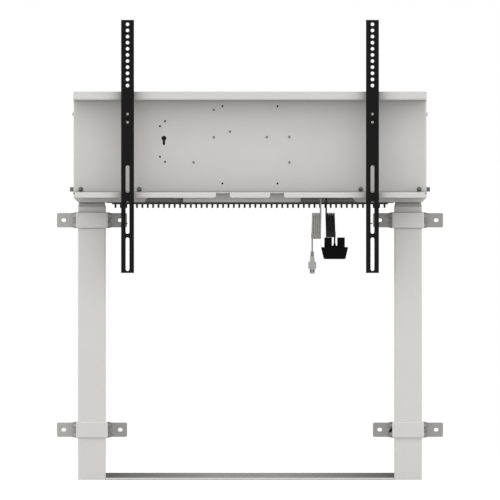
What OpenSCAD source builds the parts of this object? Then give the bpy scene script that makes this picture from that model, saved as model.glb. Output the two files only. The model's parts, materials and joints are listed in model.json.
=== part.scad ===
// Motorized lift for a large display. Two telescopic columns stand on the floor and
// are bolted to the wall. They carry a folded-sheet housing, and two display bars
// hook over its upper lip. Millimetres, +Z up, +Y towards the wall. The origin lies
// on the floor, in the middle of the width and of the depth, with the lift down.

/* [Columns] */
// Distance between the axes of the two columns
column_spacing = 776; // [700:1:850]
// Width and depth of the square outer tube
outer_w = 68; // [66:0.5:72]
// Wall of the outer tube
outer_wall = 2; // [1.5:0.1:2.4]
// Corner radius of the outer tube
outer_corner_r = 4; // [3:0.5:9]
// Height of the outer tube, from the floor
outer_h = 670; // [660:1:672]
// Gap between the inner tube and the outer tube's wall
tube_gap = 2; // [1.5:0.1:4]
// Wall of the inner tube
inner_wall = 2; // [1.5:0.1:3]
// Corner radius of the inner tube
inner_corner_r = 4; // [3:0.5:6]
// Height of the inner tube's lower end, with the lift down
inner_bottom = 24; // [16:1:60]
// Travel of the lift
stroke = 500; // [350:5:510]
// Height of the tapered part of the guide collar
collar_h = 10; // [6:0.5:10.5]
// Thickness of the collar's rim at its top
collar_rim = 0.8; // [0.8:0.1:2]
// Depth of the collar's guide skirt inside the outer tube
collar_skirt_h = 48; // [30:1:60]
// Height of the plastic shoe on the inner tube's lower end
shoe_h = 40; // [25:1:60]

/* [Spindle drive] */
// Diameter of the lifting spindle
spindle_d = 16; // [12:0.5:18]
// Radial running clearance of the spindle in its nut, bearing and gearbox
spindle_fit = 0.05; // [0.02:0.01:0.09]
// How far the spindle stands above the head bracket
spindle_over = 17; // [12:1:30]
// Length of spindle left in the nut when the lift is fully up
nut_hold = 22; // [15:1:35]
// Distance of the nut's lower face below the outer tube's top
nut_drop = 72; // [60:1:110]
// Height of the nut
nut_h = 40; // [36:1:50]
// Outer diameter of the nut and of the stand under it
nut_d = 30; // [27:0.5:40]
// Wall of the stand's tube
stand_wall = 2.5; // [2:0.1:4]
// Thickness of the foot plate
foot_t = 6; // [4:0.5:10]
// Outer diameter of the spindle bearing
bearing_d = 32; // [28:0.5:38]
// Height of the spindle bearing
bearing_h = 9; // [7:0.5:12]
// Width of the gearbox, along the housing
gearbox_w = 52; // [46:1:56]
// Depth of the gearbox
gearbox_d = 46; // [40:1:48]
// Height of the gearbox body
gearbox_h = 60; // [56:1:70]
// Corner radius of the gearbox
gearbox_r = 6; // [3:0.5:8]
// Diameter of the motor
motor_d = 50; // [40:1:52]
// Length of the motor
motor_l = 104; // [80:1:108]

/* [Wall brackets] */
// Height of the lower pair of brackets
bracket_low_z = 122.4; // [90:0.5:200]
// Distance of the upper brackets below the outer tube's top
bracket_drop = 33; // [30:0.5:170]
// Length of the plated wall plate
ear_w = 172; // [165:0.1:190]
// Height of the wall plate
ear_h = 35.2; // [30:0.1:38]
// Thickness of the wall plate
ear_t = 3; // [2.5:0.1:5]
// Corner radius of the wall plate
ear_r = 4; // [2:0.5:8]
// Distance between the two wall slots of one plate
slot_spacing = 138.8; // [130:0.1:145]
// Width of a wall slot
slot_w = 8.6; // [7:0.1:10]
// Length of a wall slot, end to end
slot_l = 11.2; // [11:0.1:18]
// Wall of the painted clamp round the column
clamp_wall = 4.85; // [4:0.05:6]
// Height of the clamp
clamp_h = 39.5; // [38:0.5:44]
// Bevel round the clamp's face
clamp_bevel = 2.2; // [1:0.1:3]
// Length of a stiffening gusset, along the wall plate
gusset_l = 10; // [7:0.5:13]
// Height of a gusset, up the clamp's side
gusset_h = 7.7; // [5:0.1:9]
// Distance of a gusset's middle from the plate's middle
gusset_z = 11.2; // [9:0.1:12]

/* [Floor tray] */
// Height of the tray's rear wall
tray_h = 17; // [12:0.5:30]
// Height of the tray's front lip
tray_lip = 5; // [4:0.5:10]
// Sheet thickness of the tray
tray_t = 2; // [1.5:0.1:3]
// Width of the tab at each end of the tray
tray_tab_w = 36; // [24:1:50]

/* [Housing] */
// How far the housing reaches past the columns' axes
housing_over = 45; // [42:0.5:60]
// Sheet thickness of the housing
sheet_t = 2.5; // [2:0.1:3]
// Inside radius of the bends
bend_r = 1.5; // [1:0.1:3]
// Gap between the guide collars and the back plate above them
plate_gap = 1; // [0.6:0.1:4]
// Height of the back plate, to the upper shelf's top face
plate_h = 253; // [239:1:279]
// Height of the lower shelf's top face above the plate's lower edge
shelf_up = 24.3; // [23:0.1:27]
// Depth of the shelves, from the back plate to the lips' face
shelf_d = 57.5; // [45:0.5:80]
// Height of the up-turned lip above the upper shelf
top_lip_h = 18; // [15:0.5:25]
// Height of the down-turned lip, with the shelf
low_lip_h = 13.3; // [12:0.1:15]
// Thickness of the rear cover
rear_cover_t = 1.5; // [1:0.1:2]
// Length of the rear cover's vents
vent_l = 36; // [20:1:60]
// Distance of the lip notches from the middle
notch_x = 66.4; // [60:0.1:80]
// Width of a lip notch
notch_w = 34; // [33:0.5:40]
// Bevel of the back plate's lower corners
corner_bevel = 11; // [6:0.5:14]
// Depth of the closed space behind the back plate
rear_d = 60; // [56:1:64]
// Depth of the top cover's rear flange
cover_flange = 22; // [15:1:40]
// Height of the cable cut-outs
cutout_h = 20; // [16:0.5:20.5]
// Width of the left cut-out at its top
cutout_left_w = 80; // [54:1:94]
// Width of the right cut-out at its top
cutout_right_w = 120; // [94:1:134]
// Distance of both cut-outs from the motors, at their top
cutout_end = 14; // [8:1:28]
// How far the slanted ends run out at the bottom
cutout_slant = 16; // [5:1:20]

/* [Holes in the back plate] */
// Distance of the small-computer pattern's middle from the left column's axis
pc_in = 129.6; // [126:0.1:138]
// Height of the small-computer pattern above the plate's middle
pc_up = 22.5; // [7.5:0.5:42.5]
// Larger hole spacing of the small-computer pattern
pc_wide = 100; // [90:1:110]
// Smaller hole spacing of the small-computer pattern
pc_narrow = 75; // [70:1:80]
// Width of the four-hole pattern in the middle
mid_w = 135.2; // [120:0.1:150]
// Distance of the middle pattern's upper holes below the upper shelf
mid_drop = 17.3; // [14:0.1:22]
// Height of the middle pattern's lower holes above the plate's lower edge
mid_up = 46; // [43:0.1:52]
// Diameter of these holes
plate_hole_d = 5; // [4:0.1:6.5]
// Distance of the keyhole from the left column's axis
key_in = 176.8; // [173:0.1:183]
// Height of the keyhole's head above the plate's middle
key_up = 30.5; // [23:0.5:37]
// Diameter of the keyhole's head
key_head_d = 12; // [10:0.5:14]
// Width of the keyhole's neck
key_neck_w = 6; // [5:0.5:8]
// Length of the keyhole's neck below the head's centre
key_neck_l = 17; // [12:0.5:22]
// Diameter of the flush weld studs
stud_d = 6; // [4:0.5:8]
// Height of a stud over the plate
stud_h = 0.5; // [0.3:0.1:1]

/* [Display bars] */
// Distance between the two bars
bar_spacing = 600; // [400:1:790]
// Width of a bar
bar_w = 31.6; // [28:0.1:33]
// Depth of a bar's channel
bar_d = 20; // [17:0.5:30]
// Sheet thickness of a bar
bar_t = 2.5; // [2:0.1:2.8]
// Length of a bar
bar_l = 620; // [600:5:700]
// How far a bar hangs down below the upper lip's edge
bar_hang = 444.5; // [430:0.5:470]
// Number of screw holes down the upper half
bar_holes = 11; // [5:1:11]
// Distance between these holes
bar_pitch = 15; // [14:0.5:15]
// Diameter of these holes
bar_hole_d = 8.6; // [6.5:0.1:9]
// Distance of the first hole from the top end
bar_hole_top = 10.8; // [9:0.1:14]
// Diameter of the two setting holes
set_hole_d = 6.4; // [5:0.1:8]
// Height of the lower setting hole above the bar's lower end
set_hole_z = 369.3; // [350:0.1:380]
// Distance between the setting holes
set_hole_pitch = 20; // [15:0.5:25]
// Width of the three long slots
bar_slot_w = 9; // [7:0.1:10]
// How far the hook reaches down behind the upper lip
hook_drop = 13; // [8:0.5:14]
// Thickness of the hook's finger and of its back
hook_t = 4; // [3:0.1:6]
// Clearance of the bars and catches from the lips
lip_gap = 0.5; // [0.3:0.1:1]

/* [Bar catches] */
// Thickness of the catch plate
catch_t = 2.5; // [2:0.1:3]
// Travel of the catch
catch_travel = 14; // [12:0.5:16]
// How far the catch reaches up behind the lower lip
catch_grip = 9; // [6:0.5:10]
// Distance of the finger tab below the lower lip
catch_tab_drop = 63; // [52:1:74]
// Diameter of the shoulder rivets that guide the catch
rivet_d = 6; // [5:0.5:7]

/* [Screws] */
// Diameter of the round screw heads on the back plate
head_d = 11; // [9:0.5:13]
// Height of these heads
head_h = 3.6; // [2.5:0.1:5]
// Diameter of the screw shanks
shank_d = 6; // [5:0.5:6.2]
// Length of the screw shanks
shank_l = 9; // [8:0.1:9.2]
// Width across flats of the hex sockets
hex_w = 4; // [3:0.5:5]
// Height of the row of screws above the plate's lower edge
screw_up = 31.6; // [31:0.1:37]
// Distance of the outer screws from the columns' axes, outwards
screw_out = 27; // [24:0.5:32]
// Distance of the inner screws from the columns' axes, inwards
screw_in = 116.4; // [112:0.1:122]
// Length of the side screws' heads
side_head_l = 7.4; // [5:0.1:8]
// Thickness of the washer under a side screw
washer_t = 1.4; // [1:0.1:2]
// Distance of the cover rivets below the upper shelf
cover_rivet_drop = 37; // [19:0.5:49]
// Height of a cover rivet's head over the side
cover_rivet_h = 3; // [2:0.1:4]
// Diameter of a cover rivet's head
cover_rivet_d = 10; // [8:0.5:12]

/* [Head brackets and boxes] */
// Height of the inner tubes' upper end above the plate's lower edge
inner_up = 19; // [16:0.5:20]
// Thickness of the head bracket
bracket_t = 5; // [4:0.1:6]
// Height of the head bracket's flanges
bracket_flange = 23; // [20:0.5:30]
// Reach of the head bracket from the column's axis, inwards
bracket_reach = 128; // [124:1:138]
// Height of both electronics boxes
box_h = 168; // [120:1:200]
// Depth of both electronics boxes
box_d = 44; // [35:1:54]
// Corner radius of both boxes
box_r = 5; // [3:0.5:8]
// Height of both boxes' lower face above the plate's lower edge
box_up = 9.6; // [9.4:0.1:11]
// Distance of the control box from the motor
box_gap = 48; // [44:1:52]
// Width of the control box
control_w = 130; // [125:1:150]
// Width of the power supply
supply_w = 110; // [100:1:115]
// Width of the mains inlet
inlet_w = 28; // [26:0.5:32]
// Depth of the mains inlet
inlet_d = 21; // [19:0.5:24]
// Height of the mains inlet below the power supply
inlet_h = 15; // [13:0.5:18]
// Wall of the mains inlet
inlet_wall = 2; // [1.5:0.1:2.5]

/* [Cable comb] */
// Pitch of the comb's teeth
tooth_pitch = 13.2; // [11:0.1:16]
// Width of a tooth
tooth_w = 5; // [3:0.1:6]
// Length of the teeth below the comb's body
tooth_l = 9.2; // [4:0.1:12]
// How far the comb's body reaches below the back plate
comb_drop = 5.2; // [3:0.1:7]
// How far it reaches up behind the back plate
comb_up = 9; // [6:0.1:9.2]
// Distance of the comb's body from the outer tubes' sides
comb_margin = 17; // [14:0.5:19]
// Thickness of the comb
comb_t = 3; // [2:0.1:4]

/* [Cables] */
// Diameter of both cables
cable_d = 4; // [3.4:0.1:4.4]
// Distance of the grey cable's exit from the control box's outer side
usb_in = 36.8; // [35:0.1:44]
// Distance of the black cable's exit from the control box's outer side
hand_in = 23.2; // [18:0.1:26]
// Height of both cable exits above the plate's lower edge
exit_up = 15.6; // [15:0.1:16]
// Length of the tapered strain reliefs
relief_l = 13; // [10:0.5:16]
// Drop from the cable exits to the top of both hanks
hank_drop = 43.2; // [38:0.1:48]
// Height of the grey hank, along its folds' middle line
usb_hank_h = 61; // [56:0.1:64]
// Height of the black hank, along its folds' middle line
hand_hank_h = 57; // [52:0.1:60]
// Radius of the hanks' folds
hank_r = 12; // [10:0.5:14]
// Distance between two runs of a hank
hank_pitch = 5.15; // [4.9:0.05:6]
// Turns of each hank
hank_turns = 4; // [2:1:4]

/* [Plug] */
// Drop from the grey hank to the plug
usb_tail_h = 32.4; // [24:0.1:60]
// Width of the plug's metal shell
shell_w = 12; // [11:0.1:13]
// Depth of the plug's metal shell
shell_d = 4.5; // [4:0.1:5]
// Length of the plug's metal shell outside the grip
shell_l = 11.6; // [10:0.1:14]
// Width of the plug's grip
grip_w = 19.6; // [16:0.1:22]
// Depth of the plug's grip
grip_d = 8.4; // [7:0.1:10]
// Length of the widest part of the grip
grip_l = 16.8; // [12:0.1:18]
// Length of the shoulder above the grip
shoulder_l = 2.2; // [2:0.1:8]
// Width of the neck above the shoulder
neck_w = 11.4; // [9:0.1:13]
// Length of the neck
neck_l = 12; // [8:0.1:14]
// Length of the ribbed strain relief
plug_relief_l = 11.6; // [8:0.1:14]
// Number of grooves in the strain relief
plug_grooves = 3; // [2:1:4]

/* [Hand switch] */
// Width of the switch's case at its cable end
switch_w = 66; // [60:0.5:75]
// Width of the case at its button end
switch_tip_w = 54.5; // [50:0.5:60]
// Drop from the black hank to the switch's case
hand_tail_h = 25.4; // [25:0.1:40]
// Height of the case
switch_h = 29.4; // [26:0.1:32]
// Depth of the case
switch_d = 20; // [18:0.5:26]
// Wall of the case
switch_wall = 2; // [1.5:0.1:2.5]
// Corner radius at the button end
switch_r = 3; // [2:0.5:8]
// Width across both mounting ears
lug_span = 50.3; // [46:0.1:52]
// Width of one mounting ear
lug_w = 18.7; // [16:0.1:20]
// Height of the ears above the case
lug_h = 23.6; // [21:0.1:24]
// Thickness of the ears
lug_t = 4; // [3:0.1:6]
// Width of a button
button_w = 20; // [16:0.5:22]
// Depth of a button
button_d = 9; // [7:0.5:9]
// How far a button stands out of the case
button_out = 0.2; // [0.1:0.1:3]
// Travel of a button
button_travel = 1; // [0.6:0.1:1]

/* [Hidden] */

// Overrun of cuts, and the clearances that fits share
over = 1;
slide_gap = 0.3;
seat_gap = 0.05;
hole_gap = 0.2;

// Depths, from the wall to the front of the bars
inner_w = outer_w - 2 * (outer_wall + tube_gap);
wall_to_axis = ear_t + outer_w / 2;
axis_to_lip = inner_w / 2 + sheet_t + shelf_d;
depth = wall_to_axis + axis_to_lip + lip_gap + bar_d;
wall_y = depth / 2;
column_x = column_spacing / 2;
column_y = wall_y - wall_to_axis;
plate_rear_y = column_y - inner_w / 2;
plate_front_y = plate_rear_y - sheet_t;
lip_front_y = column_y - axis_to_lip;
lip_rear_y = lip_front_y + sheet_t;
bar_rear_y = lip_front_y - lip_gap;
bar_front_y = bar_rear_y - bar_d;

// Heights, from the floor up
nut_z = outer_h - nut_drop;
bracket_high_z = outer_h - bracket_drop;
plate_bottom = outer_h + collar_h + plate_gap;
plate_top = plate_bottom + plate_h;
plate_mid = plate_bottom + plate_h / 2;
shelf_z = plate_bottom + shelf_up;
low_lip_z = shelf_z - low_lip_h;
top_lip_z = plate_top + top_lip_h;
screw_z = plate_bottom + screw_up;
cover_rivet_z = plate_top - cover_rivet_drop;
inner_top = plate_bottom + inner_up;
bracket_top = inner_top + bracket_t;
spindle_top = bracket_top + spindle_over;
spindle_bottom = nut_z + nut_hold - stroke;
motor_z = bracket_top + gearbox_h - motor_d / 2 - gearbox_r / 2;
box_z = plate_bottom + box_up;
bar_bottom = top_lip_z - bar_hang;
catch_tab_z = low_lip_z - catch_tab_drop;
comb_bottom = plate_bottom - comb_drop;
comb_top = plate_bottom + comb_up;
tooth_tip_z = comb_bottom - tooth_l;
pc_z = plate_mid + pc_up;
key_z = plate_mid + key_up;
mid_h = plate_h - mid_drop - mid_up;
mid_z = plate_bottom + mid_up + mid_h / 2;

// Places along the housing, from the columns inwards
housing_w = column_spacing + 2 * housing_over;
side_x = housing_w / 2;
screw_out_x = column_x + screw_out;
screw_in_x = column_x - screw_in;
screw_x = [-screw_out_x, -screw_in_x, screw_in_x, screw_out_x];
shank_hole_d = shank_d + 2 * hole_gap;
bracket_in_x = column_x - bracket_reach;
motor_in_x = column_x - gearbox_w / 2 - motor_l;
box_out_x = motor_in_x - box_gap;
box_in_x = box_out_x - control_w;
cutout_out = motor_in_x - cutout_end;
cutout_left_in = cutout_out - cutout_left_w;
cutout_right_in = cutout_out - cutout_right_w;
pc_x = column_x - pc_in;
key_x = column_x - key_in;
comb_half_w = column_x - outer_w / 2 - comb_margin;
tooth_count = 2 * floor((comb_half_w - tooth_w / 2) / tooth_pitch) + 1;

// Weld studs on the back plate, as shares of its half width and of its height
stud_shares = [[-0.205, 0.896], [-0.114, 0.685], [-0.205, 0.63], [-0.32, 0.386],
    [0.095, 0.631], [0.223, 0.632], [0.223, 0.386]];

// The three slots of a bar: lower end and length above the bar's lower end
slot_low_z = 5;
slot_low_l = 82;
slot_mid_z = 96;
slot_mid_l = 79.5;
slot_high_z = 196;
slot_high_l = 67.5;
bar_slots = [[slot_low_z, slot_low_l], [slot_mid_z, slot_mid_l], [slot_high_z, slot_high_l]];

// Cable planes: front runs of the hanks, and the middle of the hand switch
cable_y = plate_rear_y - relief_l - cable_d - hank_r;

// Cables from their exits down, and what hangs on them
usb_x = box_out_x - usb_in;
hand_x = box_out_x - hand_in;
exit_z = plate_bottom + exit_up;
hank_top = exit_z - hank_drop;
usb_hank_bottom = hank_top - usb_hank_h;
hand_hank_bottom = hank_top - hand_hank_h;
plug_x = usb_x - hank_turns * hank_pitch;
plug_top = usb_hank_bottom - usb_tail_h;
plug_tip = plug_top - shell_l - grip_l - shoulder_l - neck_l - plug_relief_l;
switch_x = hand_x + hank_turns * hank_pitch;
switch_top = hand_hank_bottom - hand_tail_h;
switch_bottom = switch_top - switch_h;
lug_top = switch_top + lug_h;
button_x = button_w / 2 + switch_wall;
button_y = cable_y - switch_wall;

// Square with round corners, centred
module round_square(w, d, r) {
    square([w - 2 * r, d], center = true);
    square([w, d - 2 * r], center = true);
    for (sx = [-1, 1], sy = [-1, 1])
        translate([sx * (w / 2 - r), sy * (d / 2 - r)]) circle(r, $fn = 48);
}

// Square tube of one wall thickness
module square_tube(w, wall, r, h) {
    linear_extrude(h) difference() {
        round_square(w, w, r);
        round_square(w - 2 * wall, w - 2 * wall, max(r - wall, wall / 4));
    }
}

// Profile in the YZ plane, extruded along X about x = 0
module along_x(l) {
    rotate([90, 0, 90]) linear_extrude(l, center = true) children();
}

// Profile in the XZ plane, t thick, its rear face at the depth y
module facing_front(y, t) {
    translate([0, y, 0]) rotate([90, 0, 0]) linear_extrude(t) children();
}

// Quarter of a bend of sheet, turned about its centre
module bend(angle, r, t) {
    rotate(angle) intersection() {
        difference() {
            circle(r + t, $fn = 48);
            circle(r, $fn = 48);
        }
        square(r + t);
    }
}

// Slot with round ends, centred, its long side along the first axis
module slot(l, w) {
    hull_len = l - w;
    square([hull_len, w], center = true);
    for (s = [-1, 1]) translate([s * hull_len / 2, 0]) circle(w / 2, $fn = 32);
}

// Both columns: the children are drawn on the right one, or mirrored to the left
module on_side(side) {
    mirror([side < 0 ? 1 : 0, 0, 0]) translate([column_x, column_y, 0]) children();
}

// Hole or pin along Y, from the depth y towards the front
module along_y(x, y, z, d, l, sides = 32) {
    translate([x, y, z]) rotate([90, 0, 0]) cylinder(d = d, h = l, $fn = sides);
}

// Outer tube, standing on the floor
module outer_tube(side) {
    color([0.82, 0.82, 0.81]) on_side(side)
        square_tube(outer_w, outer_wall, outer_corner_r, outer_h);
}

// Plastic guide collar: a tapered rim on the tube's end and a skirt inside it
module guide_collar(side) {
    bore_w = inner_w + 2 * slide_gap;
    bore_r = inner_corner_r + slide_gap;
    skirt_w = outer_w - 2 * outer_wall;
    color([0.8, 0.8, 0.79]) on_side(side) difference() {
        union() {
            translate([0, 0, outer_h]) hull() {
                linear_extrude(collar_rim / 2) round_square(outer_w, outer_w, outer_corner_r);
                translate([0, 0, collar_h - collar_rim / 2]) linear_extrude(collar_rim / 2)
                    round_square(bore_w + 2 * collar_rim, bore_w + 2 * collar_rim, bore_r + collar_rim);
            }
            translate([0, 0, outer_h - collar_skirt_h]) linear_extrude(collar_skirt_h)
                round_square(skirt_w, skirt_w, outer_corner_r - outer_wall);
        }
        translate([0, 0, outer_h - collar_skirt_h - over])
            linear_extrude(collar_skirt_h + collar_h + 2 * over)
                round_square(bore_w, bore_w, bore_r);
    }
}

// Foot plate with the tube that carries the spindle nut
module nut_stand(side) {
    foot_w = outer_w - 2 * outer_wall;
    stand_r = nut_d / 2;
    color([0.62, 0.63, 0.64]) on_side(side) {
        difference() {
            union() {
                linear_extrude(foot_t)
                    round_square(foot_w, foot_w, outer_corner_r - outer_wall);
                cylinder(r = stand_r, h = nut_z, $fn = 64);
                translate([0, 0, foot_t])
                    cylinder(r1 = stand_r + foot_t, r2 = stand_r, h = foot_t, $fn = 64);
            }
            translate([0, 0, foot_t / 2])
                cylinder(r = stand_r - stand_wall, h = nut_z, $fn = 64);
        }
    }
}

// Flanged plastic nut, plugged into the stand
module spindle_nut(side) {
    plug_r = nut_d / 2 - stand_wall - seat_gap;
    color([0.85, 0.84, 0.78]) on_side(side) difference() {
        union() {
            translate([0, 0, nut_z]) cylinder(d = nut_d, h = nut_h - nut_h / 5, $fn = 64);
            translate([0, 0, nut_z + nut_h - nut_h / 5])
                cylinder(d1 = nut_d, d2 = nut_d * 0.8, h = nut_h / 5, $fn = 64);
            translate([0, 0, nut_z - nut_h / 4]) cylinder(r = plug_r, h = nut_h / 2, $fn = 64);
        }
        translate([0, 0, nut_z - nut_h])
            cylinder(d = spindle_d + 2 * spindle_fit, h = 3 * nut_h, $fn = 64);
    }
}

// Open tray on the floor between the columns, for the supply cables
module floor_tray() {
    tray_l = column_spacing - outer_w;
    front = column_y - outer_w / 2;
    rear = column_y + outer_w / 2;
    color([0.6, 0.6, 0.58]) {
        along_x(tray_l) {
            translate([front + bend_r + tray_t, 0]) square([outer_w - 2 * (bend_r + tray_t), tray_t]);
            translate([front + bend_r + tray_t, bend_r + tray_t]) bend(180, bend_r, tray_t);
            translate([rear - bend_r - tray_t, bend_r + tray_t]) bend(270, bend_r, tray_t);
            translate([front, bend_r + tray_t]) square([tray_t, tray_lip - bend_r - tray_t]);
            translate([rear - tray_t, bend_r + tray_t]) square([tray_t, tray_h - bend_r - tray_t]);
        }
        for (s = [-1, 1]) translate([s * (tray_l - tray_t) / 2, column_y, tray_h / 2])
            difference() {
                cube([tray_t, tray_tab_w, tray_h], center = true);
                rotate([0, 90, 0]) cylinder(d = plate_hole_d, h = 2 * over + tray_t, center = true, $fn = 24);
            }
    }
}

// Plated wall plate behind a column, with a slot in each ear
module wall_plate(side, z) {
    root_x = outer_w / 2 + clamp_wall;
    flare = (clamp_h - ear_h) / 2;
    tab_h = clamp_h / 3 + 2 * hole_gap;
    color([0.63, 0.63, 0.62]) on_side(side) translate([0, 0, z]) {
        facing_front(wall_to_axis, ear_t) difference() {
            union() {
                round_square(ear_w, ear_h, ear_r);
                polygon([[-root_x - gusset_l, -ear_h / 2], [-root_x, -ear_h / 2 - flare],
                    [root_x, -ear_h / 2 - flare], [root_x + gusset_l, -ear_h / 2],
                    [root_x + gusset_l, ear_h / 2], [root_x, ear_h / 2 + flare],
                    [-root_x, ear_h / 2 + flare], [-root_x - gusset_l, ear_h / 2]]);
            }
            for (s = [-1, 1]) {
                translate([s * slot_spacing / 2, 0]) slot(slot_l, slot_w);
                translate([s * (outer_w + clamp_wall) / 2, 0])
                    square([clamp_wall + 2 * hole_gap, tab_h], center = true);
            }
        }
        for (s = [-1, 1], v = [-1, 1])
            translate([s * (root_x + seat_gap), outer_w / 2, v * gusset_z - gusset_h / 2])
                linear_extrude(gusset_h)
                    polygon([[0, 0], [s * gusset_l, 0], [0, -gusset_l]]);
    }
}

// Painted clamp that wraps the column and hooks into the wall plate
module clamp(side, z) {
    full_w = outer_w + 2 * clamp_wall;
    full_d = outer_w + clamp_wall;
    corner = clamp_bevel * 1.2;
    color([0.82, 0.82, 0.81]) on_side(side) translate([0, 0, z]) {
        difference() {
            hull() for (lift = [0, clamp_bevel])
                translate([0, (outer_w - full_d) / 2, lift - clamp_h / 2])
                    linear_extrude(clamp_h - 2 * lift)
                        round_square(full_w - 2 * (clamp_bevel - lift),
                            full_d - 2 * (clamp_bevel - lift), corner);
            translate([0, 0, -clamp_h]) linear_extrude(2 * clamp_h) {
                round_square(outer_w, outer_w, outer_corner_r);
                translate([-outer_w / 2, 0]) square([outer_w, outer_w]);
            }
        }
        for (s = [-1, 1])
            translate([s * (outer_w + clamp_wall) / 2, (outer_w + ear_t) / 2 - clamp_bevel, 0])
                cube([clamp_wall - 2 * seat_gap, ear_t + 2 * clamp_bevel, clamp_h / 3], center = true);
    }
}

// Upper profile of the housing: the shelf and the up-turned lip
module upper_profile() {
    inner = plate_front_y - bend_r;
    translate([inner, plate_top - sheet_t - bend_r]) bend(0, bend_r, sheet_t);
    translate([lip_rear_y + bend_r, plate_top - sheet_t])
        square([inner - lip_rear_y - bend_r, sheet_t]);
    translate([lip_rear_y + bend_r, plate_top + bend_r]) bend(180, bend_r, sheet_t);
    translate([lip_front_y, plate_top + bend_r]) square([sheet_t, top_lip_h - bend_r]);
}

// Outline of the back plate, with its cable cut-outs and all its holes
module plate_outline() {
    low = plate_bottom;
    bevel = low + corner_bevel;
    difference() {
        polygon([[-side_x, bevel], [corner_bevel - side_x, low], [side_x - corner_bevel, low],
            [side_x, bevel], [side_x, plate_top - sheet_t - bend_r],
            [-side_x, plate_top - sheet_t - bend_r]]);
        cutout(-1, cutout_left_in);
        cutout(1, cutout_right_in);
        for (spread = [pc_wide, pc_narrow], sx = [-1, 1], sz = [-1, 1])
            translate([sx * spread / 2 - pc_x, pc_z + sz * spread / 2])
                circle(d = plate_hole_d, $fn = 32);
        for (sx = [-1, 1], sz = [-1, 1])
            translate([sx * mid_w / 2, mid_z + sz * mid_h / 2])
                circle(d = plate_hole_d, $fn = 32);
        translate([-key_x, key_z]) circle(d = key_head_d, $fn = 48);
        translate([-key_x, key_z - key_neck_l + key_neck_w / 2]) circle(d = key_neck_w, $fn = 32);
        translate([-key_x - key_neck_w / 2, key_z - key_neck_l + key_neck_w / 2])
            square([key_neck_w, key_neck_l - key_neck_w / 2]);
        for (x = screw_x) translate([x, screw_z]) circle(d = shank_hole_d, $fn = 32);
    }
}

// Cable cut-out in the back plate's skirt, slanted at its outer end
module cutout(side, inner) {
    polygon([[side * inner, plate_bottom - over], [side * (cutout_out + cutout_slant), plate_bottom - over],
        [side * (cutout_out + cutout_slant), plate_bottom],
        [side * cutout_out, plate_bottom + cutout_h], [side * inner, plate_bottom + cutout_h]]);
}

// Folded back plate: its face, the side returns, the upper shelf and lip
module back_plate() {
    bevel = plate_bottom + corner_bevel;
    return_h = plate_top - sheet_t - bevel;
    edge_r = bend_r + sheet_t;
    color([0.79, 0.78, 0.77]) {
        intersection() {
            union() {
                facing_front(plate_rear_y, sheet_t) plate_outline();
                difference() {
                    for (s = [-1, 1])
                        translate([s * (side_x - sheet_t / 2), column_y, bevel + return_h / 2])
                            cube([sheet_t, rear_d, return_h], center = true);
                    for (s = [-1, 1]) {
                        side_hole(s, screw_z, shank_hole_d);
                        side_hole(s, cover_rivet_z, plate_hole_d);
                    }
                }
            }
            translate([0, plate_front_y + rear_d, plate_bottom - over])
                linear_extrude(plate_top - plate_bottom + 2 * over)
                    round_square(housing_w, 2 * rear_d, edge_r);
        }
        along_x(housing_w) upper_profile();
        for (p = stud_shares)
            along_y(p[0] * side_x, plate_front_y, plate_bottom + p[1] * (plate_top - plate_bottom),
                stud_d, stud_h);
    }
}

// Hole across a side return, in the middle of the housing's rear space
module side_hole(s, z, d) {
    translate([s * side_x, column_y, z]) rotate([0, 90, 0])
        cylinder(d = d, h = 6 * sheet_t, center = true, $fn = 32);
}

// Lower shelf with the down-turned lip, welded to the back plate
module lower_rail() {
    bend_z = shelf_z - sheet_t - bend_r;
    notch_r = 2 * sheet_t;
    color([0.82, 0.82, 0.81]) difference() {
        along_x(housing_w) {
            translate([lip_rear_y + bend_r, shelf_z - sheet_t])
                square([plate_front_y - lip_rear_y - bend_r, sheet_t]);
            translate([lip_rear_y + bend_r, bend_z]) bend(90, bend_r, sheet_t);
            translate([lip_front_y, low_lip_z]) square([sheet_t, bend_z - low_lip_z]);
        }
        for (s = [-1, 1]) {
            translate([s * notch_x, lip_front_y + sheet_t, low_lip_z + low_lip_h / 2])
                cube([notch_w, 2 * (sheet_t + bend_r), low_lip_h + 2 * over], center = true);
            for (e = [-1, 1]) facing_front(lip_rear_y + over, sheet_t + 2 * over)
                translate([s * notch_x + e * notch_w / 2, low_lip_z]) difference() {
                    translate([min(0, e * notch_r), -over]) square([notch_r, notch_r + over]);
                    translate([e * notch_r, notch_r]) circle(notch_r, $fn = 48);
                }
        }
        for (s = [-1, 1]) facing_front(lip_rear_y + over, sheet_t + 2 * over)
            polygon([[s * (side_x + over), low_lip_z - over],
                [s * (side_x - corner_bevel / 2), low_lip_z - over],
                [s * (side_x - corner_bevel / 2), low_lip_z],
                [s * side_x, low_lip_z + corner_bevel / 2],
                [s * (side_x + over), low_lip_z + corner_bevel / 2]]);
    }
}

// Cover that closes the housing's rear space from above
module top_cover() {
    cover_w = housing_w - 2 * (sheet_t + slide_gap);
    rear = plate_rear_y + rear_d;
    front = plate_rear_y + bend_r;
    tab_h = plate_top - cover_rivet_z + cover_rivet_d + sheet_t;
    color([0.8, 0.8, 0.79]) {
        along_x(cover_w) {
            translate([front, plate_top - sheet_t]) square([rear - front - sheet_t - bend_r, sheet_t]);
            translate([rear - sheet_t - bend_r, plate_top - sheet_t - bend_r]) bend(0, bend_r, sheet_t);
            translate([rear - sheet_t, plate_top - cover_flange])
                square([sheet_t, cover_flange - sheet_t - bend_r]);
        }
        difference() {
            for (s = [-1, 1])
                translate([s * (cover_w - sheet_t) / 2, column_y, plate_top - tab_h / 2])
                    cube([sheet_t, rear_d / 2, tab_h], center = true);
            for (s = [-1, 1]) side_hole(s, cover_rivet_z, plate_hole_d);
        }
    }
}

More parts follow.
